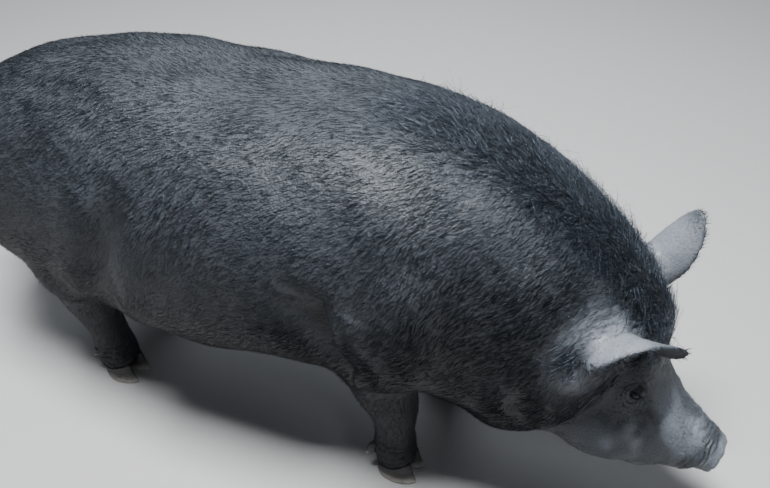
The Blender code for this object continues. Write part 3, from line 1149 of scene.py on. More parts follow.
@dataclass(frozen=True)
class Eye:
    """One eye: its ball, its lids and which way it looks, in the head's frame for the right one."""

    side: Side
    radius: float = 0.0120
    gaze: Point = (0.36, -0.86, 0.36)
    half_length: float = 0.0100  # of the opening
    half_height: float = 0.0046
    lid: float = 0.0024  # how thick the lids are
    lid_edge: float = 0.0009
    wrinkle: float = 0.0052  # from one arc round the lids to the next
    wrinkle_height: float = 0.0006
    cornea: float = 0.045  # how far the ball swells over the iris, as a share of its radius
    rings: int = 40

    def center(self) -> Array:
        """The middle of the ball."""
        low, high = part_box(f"eye_{self.side.word}")
        return np.array((low + high) / 2.0)

    def axes(self, head: HeadFrame) -> Array:
        """The eye's own axes.

        Args:
            head: The head's frame.

        Returns:
            Three rows: towards the snout, up, and out along the gaze.
        """
        x, y, z = self.gaze
        out = unit(head.outward((x, y if self.side is Side.RIGHT else -y, z)))
        ahead = head.outward((1.0, 0.0, 0.12))
        ahead = unit(ahead - out * (ahead @ out))
        up = np.cross(out, ahead) * (-1.0 if self.side is Side.RIGHT else 1.0)
        return np.stack([ahead, up * (-1.0 if up[2] < 0 else 1.0), out])

    def seen(self, points: Array, head: HeadFrame) -> Array:
        """Points along the eye's own axes, in three rows."""
        return ((points - self.center()) @ self.axes(head).T).T

    def slit(self, ahead: Array, up: Array) -> Array:
        """How far from the middle of the opening points are, with 1 at the edge of the lids."""
        return np.hypot(ahead / self.half_length, up / self.half_height)

    def shape(self, anatomy: Anatomy) -> tuple[Array, Array]:
        """The moves that lay the skin over the ball and open it between two lids.

        Args:
            anatomy: The skin's points and their parts.

        Returns:
            A vector for each point, and how deep in a crease it lies, which sets the shade painted in the
            wrinkles round the lids and along their edges.
        """
        axes = self.axes(anatomy.head_frame)
        ahead, up, out = self.seen(anatomy.points, anatomy.head_frame)
        away = np.hypot(ahead, up)
        slit = self.slit(ahead, up)
        near = (away < 0.045) & (out > -0.035)
        over = self.radius + self.lid
        dome = np.sqrt(over**2 - np.minimum(away, 0.9 * over) ** 2)
        under = np.sqrt(self.radius**2 - np.minimum(away, 0.8 * self.radius) ** 2) - 0.005
        raised = np.maximum(dome + self.lid_edge * hump(slit, 1.30, 0.22), out)
        target = under + (raised - under) * smoothstep(slit, 0.84, 1.12)
        share = smoothstep(away, 0.0240, 0.0150)
        move = np.where(near, share * (target - out), 0.0)
        arcs = np.hypot(ahead / 1.35, up * np.where(up > 0.0, 1.0, 0.85)) / self.wrinkle
        arcs = arcs + 0.35 * waves(anatomy.points, 0.022, Pattern.LID_WANDER)
        fold = np.cos((arcs - 2.0) * math.tau) * smoothstep(arcs, 1.9, 2.4) * smoothstep(arcs, 4.6, 3.0)
        move += np.where(near, self.wrinkle_height * fold, 0.0)
        crease = np.where(near, smoothstep(-fold, 0.3, 1.0) * 0.35, 0.0)
        rim = hump(slit, 0.98, 0.20)
        crease = np.maximum(crease, np.where(near, rim * 0.8, 0.0))
        return move[:, None] * axes[2], crease

    def build(self, head: HeadFrame, look: bpy.types.Material) -> bpy.types.Object:
        """Makes the ball, with a slight swell over the iris.

        Args:
            head: The head's frame.
            look: The eye's material.

        Returns:
            The eye, in place of the solid one.
        """
        shell = bmesh.new()
        bmesh.ops.create_uvsphere(shell, u_segments=self.rings, v_segments=self.rings // 2, radius=1.0)
        bmesh.ops.triangulate(shell, faces=shell.faces)
        mesh = mesh_of(shell, "eyeball")
        local = points_of(mesh)
        off = np.arccos(np.clip(local[:, 2], -1.0, 1.0))
        swell = 1.0 + self.cornea * smoothstep(off, 0.85, 0.35)
        axes = self.axes(head)
        put_points(mesh, self.center() + (local * swell[:, None] * (self.radius - 0.0002)) @ axes)
        write_mark(mesh, "off_gaze", off)
        mesh.shade_smooth()
        made = place(mesh, f"eyeball_{self.side.word}", look)
        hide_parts(f"eye_{self.side.word}")
        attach(made, "root")
        return made


FLESH = (
    "trunk",
    "neck",
    "head",
    "snout",
    "tail",
    "ear_right",
    "ear_left",
    "fore_leg_right",
    "fore_leg_left",
    "hind_leg_right",
    "hind_leg_left",
)


@dataclass
class Hide:
    """The one skin over all the flesh."""

    voxel: float = 0.0042
    overlap: float = 0.0015  # joins the pieces of flesh across their cuts
    body_depth: float = 0.0060  # of the coat
    face_depth: float = 0.0015
    leg_depth: float = 0.0025
    ear_depth: float = 0.0010
    snout_fine: Span = (0.085, 0.045)  # the radii within which faces are split once and twice
    eye_fine: Span = (0.045, 0.026)
    give_back: float = 0.56  # of a smoothing step, so that thin parts stay as thick
    rounds_body: int = 44  # of smoothing
    rounds_part: int = 9
    rounds_fine: int = 4
    rounds_snout: int = 10
    body_lumps: float = 0.0022
    face_lumps: float = 0.0006
    knee: float = 0.0030
    hollow: float = 0.0038  # beside the tendons
    ankle_wrinkle: float = 0.0115  # from one wrinkle to the next
    ankle_height: float = 0.0009
    ear_wrinkle: float = 0.0100
    ear_height: float = 0.0016
    teat_height: float = 0.0085
    teat_radius: float = 0.0060
    teat_out: float = 0.062
    snout: Snout = field(default_factory=Snout)
    eyes: tuple[Eye, ...] = (Eye(Side.RIGHT), Eye(Side.LEFT))
    head: HeadFrame = field(default_factory=HeadFrame)

    def fused(self) -> bpy.types.Mesh:
        """Joins all the flesh.

        Returns:
            One even mesh, finer about the eyes and the snout.
        """
        shell = bmesh.new()
        for name in (*FLESH, "eye_right", "eye_left"):
            one = solid_shell(name)
            one.normal_update()
            for vertex in one.verts:
                vertex.co += vertex.normal * self.overlap
            mesh = mesh_of(one, "one")
            shell.from_mesh(mesh)
            bpy.data.meshes.remove(mesh)
        mesh = voxel_mesh(mesh_of(shell, "flesh"), self.voxel)
        disc = Vector(self.head.spot(self.snout.at))
        eyes = [Vector(eye.center()) for eye in self.eyes]
        for at_disc, at_eye in zip(self.snout_fine, self.eye_fine):
            self._refine(mesh, [(disc, at_disc)] + [(eye, at_eye) for eye in eyes])
        return mesh

    def _refine(self, mesh: bpy.types.Mesh, balls: list[tuple[Vector, float]]) -> None:
        """Splits the faces inside some balls in four.

        Args:
            mesh: The mesh to change.
            balls: A centre and a radius for each ball.
        """
        shell = bmesh.new()
        shell.from_mesh(mesh)
        inside = {v for v in shell.verts if any((v.co - c).length < r for c, r in balls)}
        edges = [e for e in shell.edges if e.verts[0] in inside and e.verts[1] in inside]
        bmesh.ops.subdivide_edges(shell, edges=edges, cuts=1, use_grid_fill=True)
        bmesh.ops.triangulate(shell, faces=[f for f in shell.faces if len(f.verts) > 4])
        shell.to_mesh(mesh)
        shell.free()

    def _folds(self, anatomy: Anatomy) -> tuple[Array, Array]:
        """The moves of all the folds along the skin's normals.

        Args:
            anatomy: The skin's points and their parts.

        Returns:
            How far each point moves out, and how deep in a crease it lies, which sets the shade painted
            there.
        """
        points, local = anatomy.points, anatomy.local
        push = np.zeros(len(points))
        crease = np.zeros(len(points))
        bodily = (1.0 - anatomy.head) * (1.0 - anatomy.ear_back)
        jobs = [(fold, points, bodily) for fold in (ELBOW_FOLD, FLANK_FOLD, JOWL_FOLD)]
        jobs += [(fold, local, anatomy.head) for fold in (MOUTH, *CHEEK_FOLDS)]
        for fold, where, share in jobs:
            both = [fold, replace(fold, line=mirrored(fold.line))]
            for one in both:
                out, deep = one.push(where)
                push += out * share
                crease = np.maximum(crease, deep * share)
        out, deep = THROAT_FOLD.push(points)
        return push + out * bodily, np.maximum(crease, deep * bodily * 0.6)

    def _ear_roots(self, anatomy: Anatomy) -> tuple[Array, Array]:
        """Small broken wrinkles round the root of each ear, towards the neck.

        Args:
            anatomy: The skin's points and their parts.

        Returns:
            How far each point moves out, and how deep in a crease it lies, which sets the shade painted
            there.
        """
        wander = 0.0045 * waves(anatomy.points, 0.045, Pattern.EAR_WANDER)
        broken = smoothstep(waves(anatomy.points, 0.032, Pattern.EAR_BREAKS), -0.9, 0.5)
        window = smoothstep(anatomy.ear_gap, 0.005, 0.012) * smoothstep(anatomy.ear_gap, 0.066, 0.020)
        window *= anatomy.rooted * broken
        window *= 1.0 - anatomy.ear
        ridge = np.cos((anatomy.ear_gap + wander) / self.ear_wrinkle * math.tau)
        return self.ear_height * window * ridge, 0.60 * window * smoothstep(-ridge, 0.2, 1.0)

    def _legs(self, anatomy: Anatomy) -> tuple[Array, Array]:
        """Knees, the hollows beside the tendons, and wrinkles above the claws.

        Args:
            anatomy: The skin's points and their parts.

        Returns:
            How far each point moves out, and how deep in a crease it lies, which sets the shade painted
            there.
        """
        x, y, z = anatomy.points.T
        push = np.zeros(len(x))
        for foot_x, foot_y in FEET.values():
            angle = np.abs(np.arctan2(np.abs(y) - foot_y, x - foot_x - 0.004))
            near = anatomy.leg * (np.sign(x) == np.sign(foot_x))
            hollow = hump(angle, 2.1, 0.40) * smoothstep(z, 0.072, 0.092)
            hollow *= smoothstep(z, 0.185, 0.140)
            knee = np.exp(-((angle / 0.8) ** 2) - ((z - 0.150) / 0.022) ** 2)
            push += near * (self.knee * knee - self.hollow * hollow)
        low = anatomy.leg * smoothstep(z, 0.034, 0.042) * smoothstep(z, 0.098, 0.080)
        wander = 0.0040 * waves(anatomy.points, 0.040, Pattern.LEG_WANDER)
        slant = 0.10 * (x - np.sign(x) * 0.27)
        ridge = np.cos((z - slant + wander) / self.ankle_wrinkle * math.tau)
        return push + self.ankle_height * low * ridge, 0.5 * low * smoothstep(-ridge, 0.3, 1.0)

    def _teats(self, anatomy: Anatomy) -> Array:
        """Two rows of small teats under the belly.

        Args:
            anatomy: The skin's points and their parts.

        Returns:
            How far each point moves out.
        """
        push = np.zeros(len(anatomy.points))
        low = smoothstep(anatomy.normals[:, 2], -0.4, -0.8) * (1.0 - anatomy.leg)
        for x in np.linspace(-0.250, 0.130, 6):
            for side in Side:
                y = side.value * self.teat_out
                off = np.hypot(anatomy.points[:, 0] - x, anatomy.points[:, 1] - y)
                push += low * self.teat_height * hump(off, 0.0, self.teat_radius)
        return push

    def build(self, look: bpy.types.Material) -> tuple[bpy.types.Object, Anatomy]:
        """Makes the skin and lays it inside the solids by the coat's depth.

        Args:
            look: The skin's material.

        Returns:
            The skin, and which part of the pig each of its points belongs to.
        """
        mesh = self.fused()
        rough = Anatomy(points_of(mesh), normals_of(mesh), self.head)
        self._sink(mesh, self._smooth(mesh, rough), rough)
        thin = self._carve(mesh, rough)
        mesh.shade_smooth()
        made = place(mesh, "skin", look)
        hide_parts(*FLESH)
        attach(made, "root")
        final = Anatomy(points_of(mesh), normals_of(mesh), self.head)
        final.take_ears(rough)
        final.thin = np.clip(thin, 0.0, 1.0)
        return made, final

    def _smooth(self, mesh: bpy.types.Mesh, rough: Anatomy) -> Array:
        """Takes the steps and seams out of the skin, most on the body and least on the ears.

        Args:
            mesh: The skin's mesh.
            rough: Its points before, and their parts.

        Returns:
            The points after, which the mesh then has too.
        """
        edges = edges_of(mesh)
        whole = np.ones(len(rough.points))
        points = even_out(rough.points, edges, self.rounds_fine, whole, self.give_back)
        broad = (1.0 - rough.head) * (1.0 - rough.leg) * (1.0 - rough.ear) * (1.0 - rough.tail)
        points = even_out(points, edges, self.rounds_body, broad)
        points = even_out(points, edges, self.rounds_part, (1.0 - rough.ear) * (1.0 - rough.disc))
        out = self.snout.local(rough.local)[:, 0]
        neck = rough.head * smoothstep(out, -0.030, -0.014) * smoothstep(out, 0.008, -0.002)
        points = even_out(points, edges, self.rounds_snout, neck)
        put_points(mesh, points)
        return points

    def _sink(self, mesh: bpy.types.Mesh, points: Array, rough: Anatomy) -> None:
        """Lays the skin inside the solids by the depth of the coat.

        Args:
            mesh: The skin's mesh.
            points: Its points.
            rough: The parts of its points.
        """
        depth = self.body_depth + (self.face_depth - self.body_depth) * rough.head
        depth += (self.leg_depth - depth) * np.maximum(rough.leg, rough.tail)
        depth += (self.ear_depth - depth) * rough.ear
        depth *= 1.0 - rough.disc
        put_points(mesh, points - normals_of(mesh) * (self.overlap + depth)[:, None])

    def _carve(self, mesh: bpy.types.Mesh, rough: Anatomy) -> Array:
        """Carves the folds, wrinkles, lids and nostrils, and writes the skin's marks.

        Args:
            mesh: The skin's mesh.
            rough: Which points are of the ears.

        Returns:
            Where creases leave little room for hair.
        """
        anatomy = Anatomy(points_of(mesh), normals_of(mesh), self.head)
        anatomy.take_ears(rough)
        push, crease = self._folds(anatomy)
        for out, deep in (self._ear_roots(anatomy), self._legs(anatomy), (self._teats(anatomy), 0.0)):
            push = push + out
            crease = np.maximum(crease, deep)
        broadly = 1.0 - np.maximum.reduce([anatomy.head, anatomy.leg, anatomy.ear, anatomy.tail])
        push += broadly * self.body_lumps * waves(anatomy.points, 0.110, Pattern.BODY_LUMPS)
        bony = anatomy.face * (1.0 - anatomy.disc)
        push += bony * self.face_lumps * waves(anatomy.points, 0.030, Pattern.FACE_LUMPS)
        moves = push[:, None] * anatomy.normals
        for part in (self.snout, *self.eyes):
            move, deep = part.shape(anatomy)
            moves += move
            crease = np.maximum(crease, deep)
        put_points(mesh, anatomy.points + moves)
        self._mark(mesh, anatomy, crease)
        return crease * (1.0 - anatomy.head)

    def _mark(self, mesh: bpy.types.Mesh, anatomy: Anatomy, crease: Array) -> None:
        """Writes how bare and pale the skin is, and how much shade is painted on it.

        Args:
            mesh: The skin's mesh.
            anatomy: The skin's points and their parts.
            crease: How deep in a crease each point lies, which sets the shade painted there.
        """
        bare, pale = markings(anatomy)
        _, across, up = self.snout.local(anatomy.local).T
        pale = np.maximum(pale, 0.60 * anatomy.disc * hump(self.snout.edge(across, up), 0.94, 0.13))
        write_mark(mesh, "bare", bare)
        write_mark(mesh, "pale", pale)
        # Shade is also painted down the legs and on the underside.
        crease = np.maximum.reduce([crease, 0.75 * anatomy.leg, 0.75 * under(anatomy)])
        write_mark(mesh, "crease", np.clip(crease, 0.0, 1.0) * 0.85)


def under(anatomy: Anatomy) -> Array:
    """Finds where shade is painted on the coat and skin: down the flanks, the neck's underside and the belly.

    Args:
        anatomy: The skin's points and their parts.

    Returns:
        A number from 0 to 1 for each point.
    """
    at = anatomy.at
    x, _, z = anatomy.points.T
    other = np.maximum.reduce([anatomy.head, anatomy.ear, 0.8 * anatomy.rooted])
    return smoothstep(z - at.under_rise * smoothstep(x, *at.under_neck), *at.under) * (1.0 - other)


def markings(anatomy: Anatomy) -> tuple[Array, Array]:
    """How bare and how pale the skin and coat are.

    Args:
        anatomy: The skin's points and their parts.

    Returns:
        Two numbers from 0 to 1 for each point.
    """
    cloud = smoothstep(waves(anatomy.points, 0.045, Pattern.SKIN_CLOUDS), -0.9, 0.9)
    rooted = anatomy.rooted * (0.55 + 0.45 * cloud) * (1.0 - anatomy.tuft) * (1.0 - anatomy.poll)
    rooted *= 1.0 - anatomy.ear
    bare = np.maximum.reduce(
        [
            anatomy.ear_back,
            0.35 * anatomy.ear_inside,
            # The face is barest at the muzzle; its darker rear, under the ears, is partly hair and partly
            # painted shade.
            (0.42 + 0.38 * anatomy.muzzle) * anatomy.face * (1.0 - anatomy.poll),
            0.55 * anatomy.belly,
            rooted,
            # The darker skin down the legs is painted shade.
            0.30 * (1.0 - 0.7 * anatomy.leg),
        ]
    )
    tip = smoothstep(anatomy.ear_reach, 0.74, 0.98)
    smudge = smoothstep(waves(anatomy.points, 0.050, Pattern.SMUDGES), 0.0, 1.3)
    pale = np.maximum.reduce(
        [
            # The pale ear backs darken at the tip and rim: partly dark hair at the edge, partly painted shade
            # where the ear curls over.
            0.70 * anatomy.ear_back * (1.0 - 0.88 * tip) * (1.0 - 0.80 * anatomy.ear_rim),
            0.75 * rooted**1.3,
            0.34 * anatomy.disc,
            (0.05 + 0.55 * smudge) * anatomy.face * smoothstep(anatomy.local[:, 0], 0.030, 0.110),
        ]
    )
    return np.clip(bare, 0.0, 1.0), np.clip(pale, 0.0, 1.0)


# ---------------------------------------------------------------- the coat
@dataclass(frozen=True)
class Chart:
    """A rectangle of the unwrap."""

    left: float
    low: float
    wide: float
    high: float

    def lay(self, u: Array, v: Array) -> Array:
        """Lays two shares into the rectangle.

        Args:
            u: How far across, from 0 to 1.
            v: How far up.

        Returns:
            A place on the unwrap for each.
        """
        u, v = np.clip(u, 0.0, 1.0), np.clip(v, 0.0, 1.0)
        return np.stack([self.left + self.wide * u, self.low + self.high * v], axis=1)


@dataclass(frozen=True)
class Atlas:
    """An unwrap of the skin's own shape: a cylinder for each part, in its own place."""

    body: Chart = Chart(0.02, 0.40, 0.96, 0.58)
    head: Chart = Chart(0.02, 0.02, 0.34, 0.35)
    leg: Chart = Chart(0.38, 0.02, 0.10, 0.35)
    leg_step: float = 0.115  # from one leg's rectangle to the next
    ear: Chart = Chart(0.85, 0.02, 0.06, 0.15)
    ear_lefts: tuple[float, float] = (0.85, 0.92)  # of an ear's back and hollow
    ear_lows: tuple[float, float] = (0.02, 0.20)  # of the two ears

    def unwrap(self, anatomy: Anatomy) -> Array:
        """Where on the unwrap each point of the skin is.

        Args:
            anatomy: The points and their parts.

        Returns:
            Two numbers from 0 to 1 for each point.
        """
        x, y, z = anatomy.points.T
        found = self.body.lay((x + 0.66) / 1.22, self._turn(y, z - 0.380))
        hx, hy, hz = anatomy.local.T
        head = self.head.lay((hx + 0.10) / 0.36, self._turn(hy, hz + 0.03))
        found = np.where((anatomy.head > 0.5)[:, None], head, found)
        left = self.leg.left
        for foot_x, foot_y in FEET.values():
            for side in Side:
                near = (anatomy.leg > 0.5) & (np.sign(x) == np.sign(foot_x)) & (np.sign(y) == side.value)
                turn = self._turn(x - foot_x, y - side.value * foot_y)
                leg = replace(self.leg, left=left).lay(turn, z / 0.26)
                found = np.where(near[:, None], leg, found)
                left += self.leg_step
        for ear, low in zip(EARS, self.ear_lows):
            flat = (anatomy.points - np.array(ear.at)) @ ear.turn().T
            mine = (np.sign(y) == ear.side.value) & (anatomy.ear > 0.5)
            for inside, left in zip((False, True), self.ear_lefts):
                chart = replace(self.ear, left=left, low=low)
                part = chart.lay(flat[:, 1] / 0.12 + 0.5, flat[:, 0] / 0.16)
                here = mine & ((anatomy.ear_inside > 0.5) == inside)
                found = np.where(here[:, None], part, found)
        return found

    def _turn(self, aside: Array, up: Array) -> Array:
        """How far round a cylinder points are, from 0 to 1."""
        return np.arctan2(aside, up) / math.tau + 0.5


@dataclass(frozen=True)
class Growth:
    """How the bristles of one part of the pig grow.

    length, width and lift are of one tuft, apart how far its neighbours are, wild how many
    degrees it strays from the lie, rings how many cross-sections it has below its tip, bend
    one over the radius of the body under it, curl how far it swings aside for its length, and
    shaded whether it takes the copy of the finish with little shine, which stands in for shade.
    """

    name: str
    apart: float
    length: float
    width: float
    lift: float
    wild: float
    rings: int = 2
    bend: float = 3.0
    curl: float = 0.16
    dull: bool = False


CELLS = 4096  # more than the pig is long, counted in gaps between neighbours
ROOT_DEPTH = 0.0010  # how deep in the skin a tuft starts
BLADE = ((-1.0, -0.25), (1.0, -0.25), (0.0, 0.55))  # its cross-section, aside and up, in half widths
TAPER = 0.75  # how much narrower it is near its tip

BODY = Growth("body", 0.0027, 0.021, 0.0010, 0.0015, 10.0, rings=1, curl=0.08)
UNDER = replace(BODY, name="under", dull=True)
HEAD = Growth("head", 0.0027, 0.011, 0.0008, 0.0012, 16.0, rings=1, bend=7.0)
LEGS = Growth("legs", 0.0029, 0.013, 0.0009, 0.0016, 13.0, rings=1, bend=12.0, dull=True)
MANE = Growth("mane", 0.0033, 0.036, 0.0011, 0.0050, 26.0, rings=4, curl=0.45)
EAR_HAIR = Growth("ear", 0.0052, 0.009, 0.0005, 0.0012, 20.0, bend=4.0)
FRINGE = Growth("fringe", 0.0030, 0.010, 0.0006, 0.0014, 24.0, bend=4.0)
TAIL_HAIR = Growth("tail", 0.0045, 0.030, 0.0012, 0.0040, 12.0, bend=30.0)
LASHES = Growth("lash", 0.0011, 0.011, 0.0004, 0.0060, 10.0, rings=3, bend=0.0)


@dataclass
class Coat:
    """The bristles, as thin solid tufts that lie along the body."""

    skin: bpy.types.Object
    anatomy: Anatomy
    look: bpy.types.Material
    # The copy of the bristles with little shine, which stands in for shade.
    dull_look: bpy.types.Material
    eyes: tuple[Eye, ...]
    most: int = 190_000  # triangles in one piece
    patch: float = 0.0030  # of a tuft on the unwrap
    back: Point = (-1.0, 0.0, -0.75)  # the way the hair lies on the body
    down_leg: Point = (-0.25, 0.0, -1.0)
    down_tail: Point = (-0.15, 0.0, -1.0)
    aside: float = 0.35  # how much it falls to both sides of the back
    ridge: float = 0.07  # how far from the middle it does so in full
    swirl: float = 0.30
    fine_swirl: float = 0.08
    mane_pale: float = 0.15  # how much of the markings the mane takes on
    tries: float = 5.0  # roots tried for each one that fits
    fill: float = 1.6  # how readily one that fits is kept
    quick_apart: float = 0.0075
    quick_width: float = 0.0024
    atlas: Atlas = field(default_factory=Atlas)

    def lie(self) -> Array:
        """Finds which way the hair lies.

        Returns:
            A direction in the plane of the skin for each of its points.
        """
        parts = self.anatomy
        way = np.tile(np.array(self.back), (len(parts.points), 1))
        outward = np.zeros((len(way), 3))
        outward[:, 1] = np.clip(parts.points[:, 1] / self.ridge, -1.0, 1.0)
        top = smoothstep(parts.normals[:, 2], 0.3, 1.0)
        way += self.aside * outward * top[:, None]
        up_face = -parts.head_frame.outward((1.0, 0.0, 0.0))
        toward = [(parts.leg, self.down_leg), (parts.head, up_face), (parts.tail, self.down_tail)]
        for ear in EARS:
            mine = parts.ear * (np.sign(parts.points[:, 1]) == ear.side.value)
            toward.append((mine, unit(np.array(ear.along))))
        for share, there in toward:
            way += (np.array(there) - way) * share[:, None]
        lashes, flick = self._lashes()
        way = unit(np.where(lashes[:, None] > 0.01, flick, way))
        across = np.cross(parts.normals, way)
        swirl = self.swirl * waves(parts.points, 0.16, Pattern.BROAD_SWIRLS)
        swirl = swirl + self.fine_swirl * waves(parts.points, 0.050, Pattern.FINE_SWIRLS)
        way += across * (swirl * (1.0 - 0.6 * parts.ear))[:, None]
        return unit(way - parts.normals * (way * parts.normals).sum(axis=1, keepdims=True))

    def shares(self) -> dict[Growth, Array]:
        """Finds how thickly each kind of growth covers the skin.

        Returns:
            For each kind a share from 0 to 1 at each point.
        """
        parts = self.anatomy
        body = 1.0 - np.maximum.reduce([parts.head, parts.leg, parts.ear, parts.tail])
        body *= (1.0 - 0.75 * parts.rooted) * (1.0 - 0.1 * parts.thin)
        # Low on the body, past a wandering edge, the tufts take the shaded copy of the bristles, which stands
        # in for shade.
        low = smoothstep(under(parts) + 0.25 * waves(parts.points, 0.030, Pattern.BLACK_EDGE), 0.25, 0.75)
        head = parts.head * (1.0 - parts.muzzle * 0.45) * (1.0 - parts.disc) * (1.0 - 0.35 * parts.cheek)
        wisps = parts.ear_back * (0.30 + 0.45 * smoothstep(parts.ear_reach, 0.6, 0.9))
        return {
            BODY: body * (1.0 - low),
            UNDER: body * low * (1.0 - 0.35 * parts.belly),
            HEAD: head * self._off_eyes(),
            LEGS: parts.leg * (parts.points[:, 2] > 0.024) * (parts.normals[:, 2] > -0.6),
            MANE: np.maximum.reduce([parts.crest, 0.85 * parts.poll, parts.tuft]) * 0.8,
            EAR_HAIR: wisps + parts.ear_inside * 0.75,
            FRINGE: parts.ear_rim,
            TAIL_HAIR: parts.tail,
            LASHES: self._lashes()[0],
        }

    def _off_eyes(self) -> Array:
        """Keeps the lids free of hair.

        Returns:
            0 on them and 1 away from them.
        """
        share = np.ones(len(self.anatomy.points))
        for eye in self.eyes:
            away = np.linalg.norm(self.anatomy.points - eye.center(), axis=1)
            share *= smoothstep(away, 0.0130, 0.0165)
        return share

    def _lashes(self) -> tuple[Array, Array]:
        """Finds where lashes grow.

        Returns:
            How near each point is to the edge of an upper lid, and which way lashes lie there.
        """
        points, head = self.anatomy.points, self.anatomy.head_frame
        share = np.zeros(len(points))
        way = np.zeros((len(points), 3))
        for eye in self.eyes:
            ahead, up, out = eye.seen(points, head)
            edge = hump(eye.slit(ahead, up), 1.22, 0.14) * smoothstep(up, 0.0, 0.002)
            edge *= out > -0.015
            share = np.maximum(share, edge)
            toward, upward, _ = eye.axes(head)
            way[edge > 0.01] = unit(0.6 * toward - 0.5 * upward)
        return share, way

    def roots(self, growth: Growth, share: Array, draw: np.random.Generator) -> tuple[Array, Array]:
        """Spreads roots over the skin.

        Args:
            growth: The kind of growth.
            share: How thickly it grows at each point.
            draw: Where the random numbers come from.

        Returns:
            The three corners of each root's triangle, and its weights of them.
        """
        mesh = self.skin.data
        mesh.calc_loop_triangles()
        corners = np.zeros(len(mesh.loop_triangles) * 3, np.int32)
        mesh.loop_triangles.foreach_get("vertices", corners)
        corners = corners.reshape(-1, 3)
        a, b, c = (self.anatomy.points[corners[:, k]] for k in range(3))
        area = np.linalg.norm(np.cross(b - a, c - a), axis=1) / 2.0
        weight = area * share[corners].mean(axis=1)
        tries = int(self.tries * weight.sum() / growth.apart**2)
        chosen = np.searchsorted(np.cumsum(weight), draw.random(tries) * weight.sum())
        chosen = np.minimum(chosen, len(corners) - 1)
        one, two = draw.random(tries), draw.random(tries)
        over = one + two > 1.0
        one, two = np.where(over, 1.0 - one, one), np.where(over, 1.0 - two, two)
        weights = np.stack([1.0 - one - two, one, two], axis=1)
        places = (self.anatomy.points[corners[chosen]] * weights[..., None]).sum(axis=1)
        cells = np.floor(places / growth.apart).astype(np.int64)
        keys = (cells[:, 0] * CELLS + cells[:, 1]) * CELLS + cells[:, 2]
        _, first = np.unique(keys, return_index=True)
        first.sort()
        local = (share[corners[chosen[first]]] * weights[first]).sum(axis=1)
        first = first[draw.random(len(first)) < np.clip(local * self.fill, 0.0, 1.0)]
        return corners[chosen[first]], weights[first]

    def build(self) -> list[bpy.types.Object]:
        """Makes every piece of the coat.

        Returns:
            The pieces.
        """
        draw = np.random.default_rng(SEED)
        lie, dim = self.lie(), self._dimness()
        unwrapped = self.atlas.unwrap(self.anatomy)
        _, pale = markings(self.anatomy)
        made = []
        for growth, share in self.shares().items():
            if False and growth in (BODY, UNDER):
                growth = replace(growth, apart=self.quick_apart, width=self.quick_width)
            corners, weights = self.roots(growth, share, draw)
            order = np.argsort(self.anatomy.points[corners[:, 0], 0])
            corners, weights = corners[order], weights[order]
            blend = weights[..., None]
            values = {
                "root": (self.anatomy.points[corners] * blend).sum(axis=1),
                "normal": unit((self.anatomy.normals[corners] * blend).sum(axis=1)),
                "way": unit((lie[corners] * blend).sum(axis=1)),
                "unwrapped": unwrapped[corners[:, 0]],
                "pale": (pale[corners] * weights).sum(axis=1) * (self.mane_pale if growth is MANE else 1.0),
                "shade": 1.0 - (dim[corners] * weights).sum(axis=1),
            }
            per_piece = self.most // len(blade_faces(growth.rings))
            for number, start in enumerate(range(0, len(corners), per_piece), 1):
                part = {name: value[start : start + per_piece] for name, value in values.items()}
                made.append(self.tufts(growth, f"bristles_{growth.name}_{number}", part, draw))
        return made

    def _dimness(self) -> Array:
        """Finds where tufts are darker: shade painted in folds, down the legs and low down, plus the crest's
        darker hair and faint random patches.

        Returns:
            How much darker they are at each point, from 0 to 1.
        """
        parts = self.anatomy
        folds, crest = 0.60 * parts.thin, 0.72 * parts.crest
        dim = np.maximum.reduce([folds, 0.85 * parts.leg, 0.85 * under(parts), crest])
        patches = smoothstep(waves(parts.points, 0.15, Pattern.DIM_PATCHES), -0.8, 0.8)
        return 1.0 - (1.0 - dim) * (0.62 + 0.38 * patches)

    def tufts(
        self, growth: Growth, name: str, part: dict[str, Array], draw: np.random.Generator
    ) -> bpy.types.Object:
        """Makes one piece of the coat.

        Args:
            growth: The kind of growth.
            name: The piece's name.
            part: For each tuft its root, normal, way, place on the unwrap, paleness and shade.
            draw: Where the random numbers come from.

        Returns:
            The piece.
        """
        points, along = self._blades(growth, part, draw)
        count, size = along.shape
        faces = np.array(blade_faces(growth.rings))
        triangles = (faces[None] + size * np.arange(count)[:, None, None]).reshape(-1, 3)
        mesh = mesh_from(name, points.reshape(-1, 3), triangles)
        sides = np.tile((-1.0, 1.0, 0.0), growth.rings)
        shift = np.stack([np.append(sides, 0.0), 2.0 * along[0] - 1.0], axis=1) * self.patch / 2.0
        spots = (part["unwrapped"][:, None] + shift[None]).reshape(-1, 2)
        layer = mesh.uv_layers.new(name="OFBake")
        layer.data.foreach_set("uv", spots[triangles.ravel()].astype(np.float32).ravel())
        # Each tuft's tone is random, darkened by its shade: painted shade in folds, down the legs and low
        # down, and the darker crest and patches.
        write_mark(mesh, "tone", np.repeat(draw.beta(2.4, 3.2, count) * part["shade"], size))
        write_mark(mesh, "pale", np.repeat(part["pale"], size))
        write_mark(mesh, "along", along.ravel())
        made = place(mesh, name, self.dull_look if growth.dull else self.look)
        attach(made, "root")
        return made

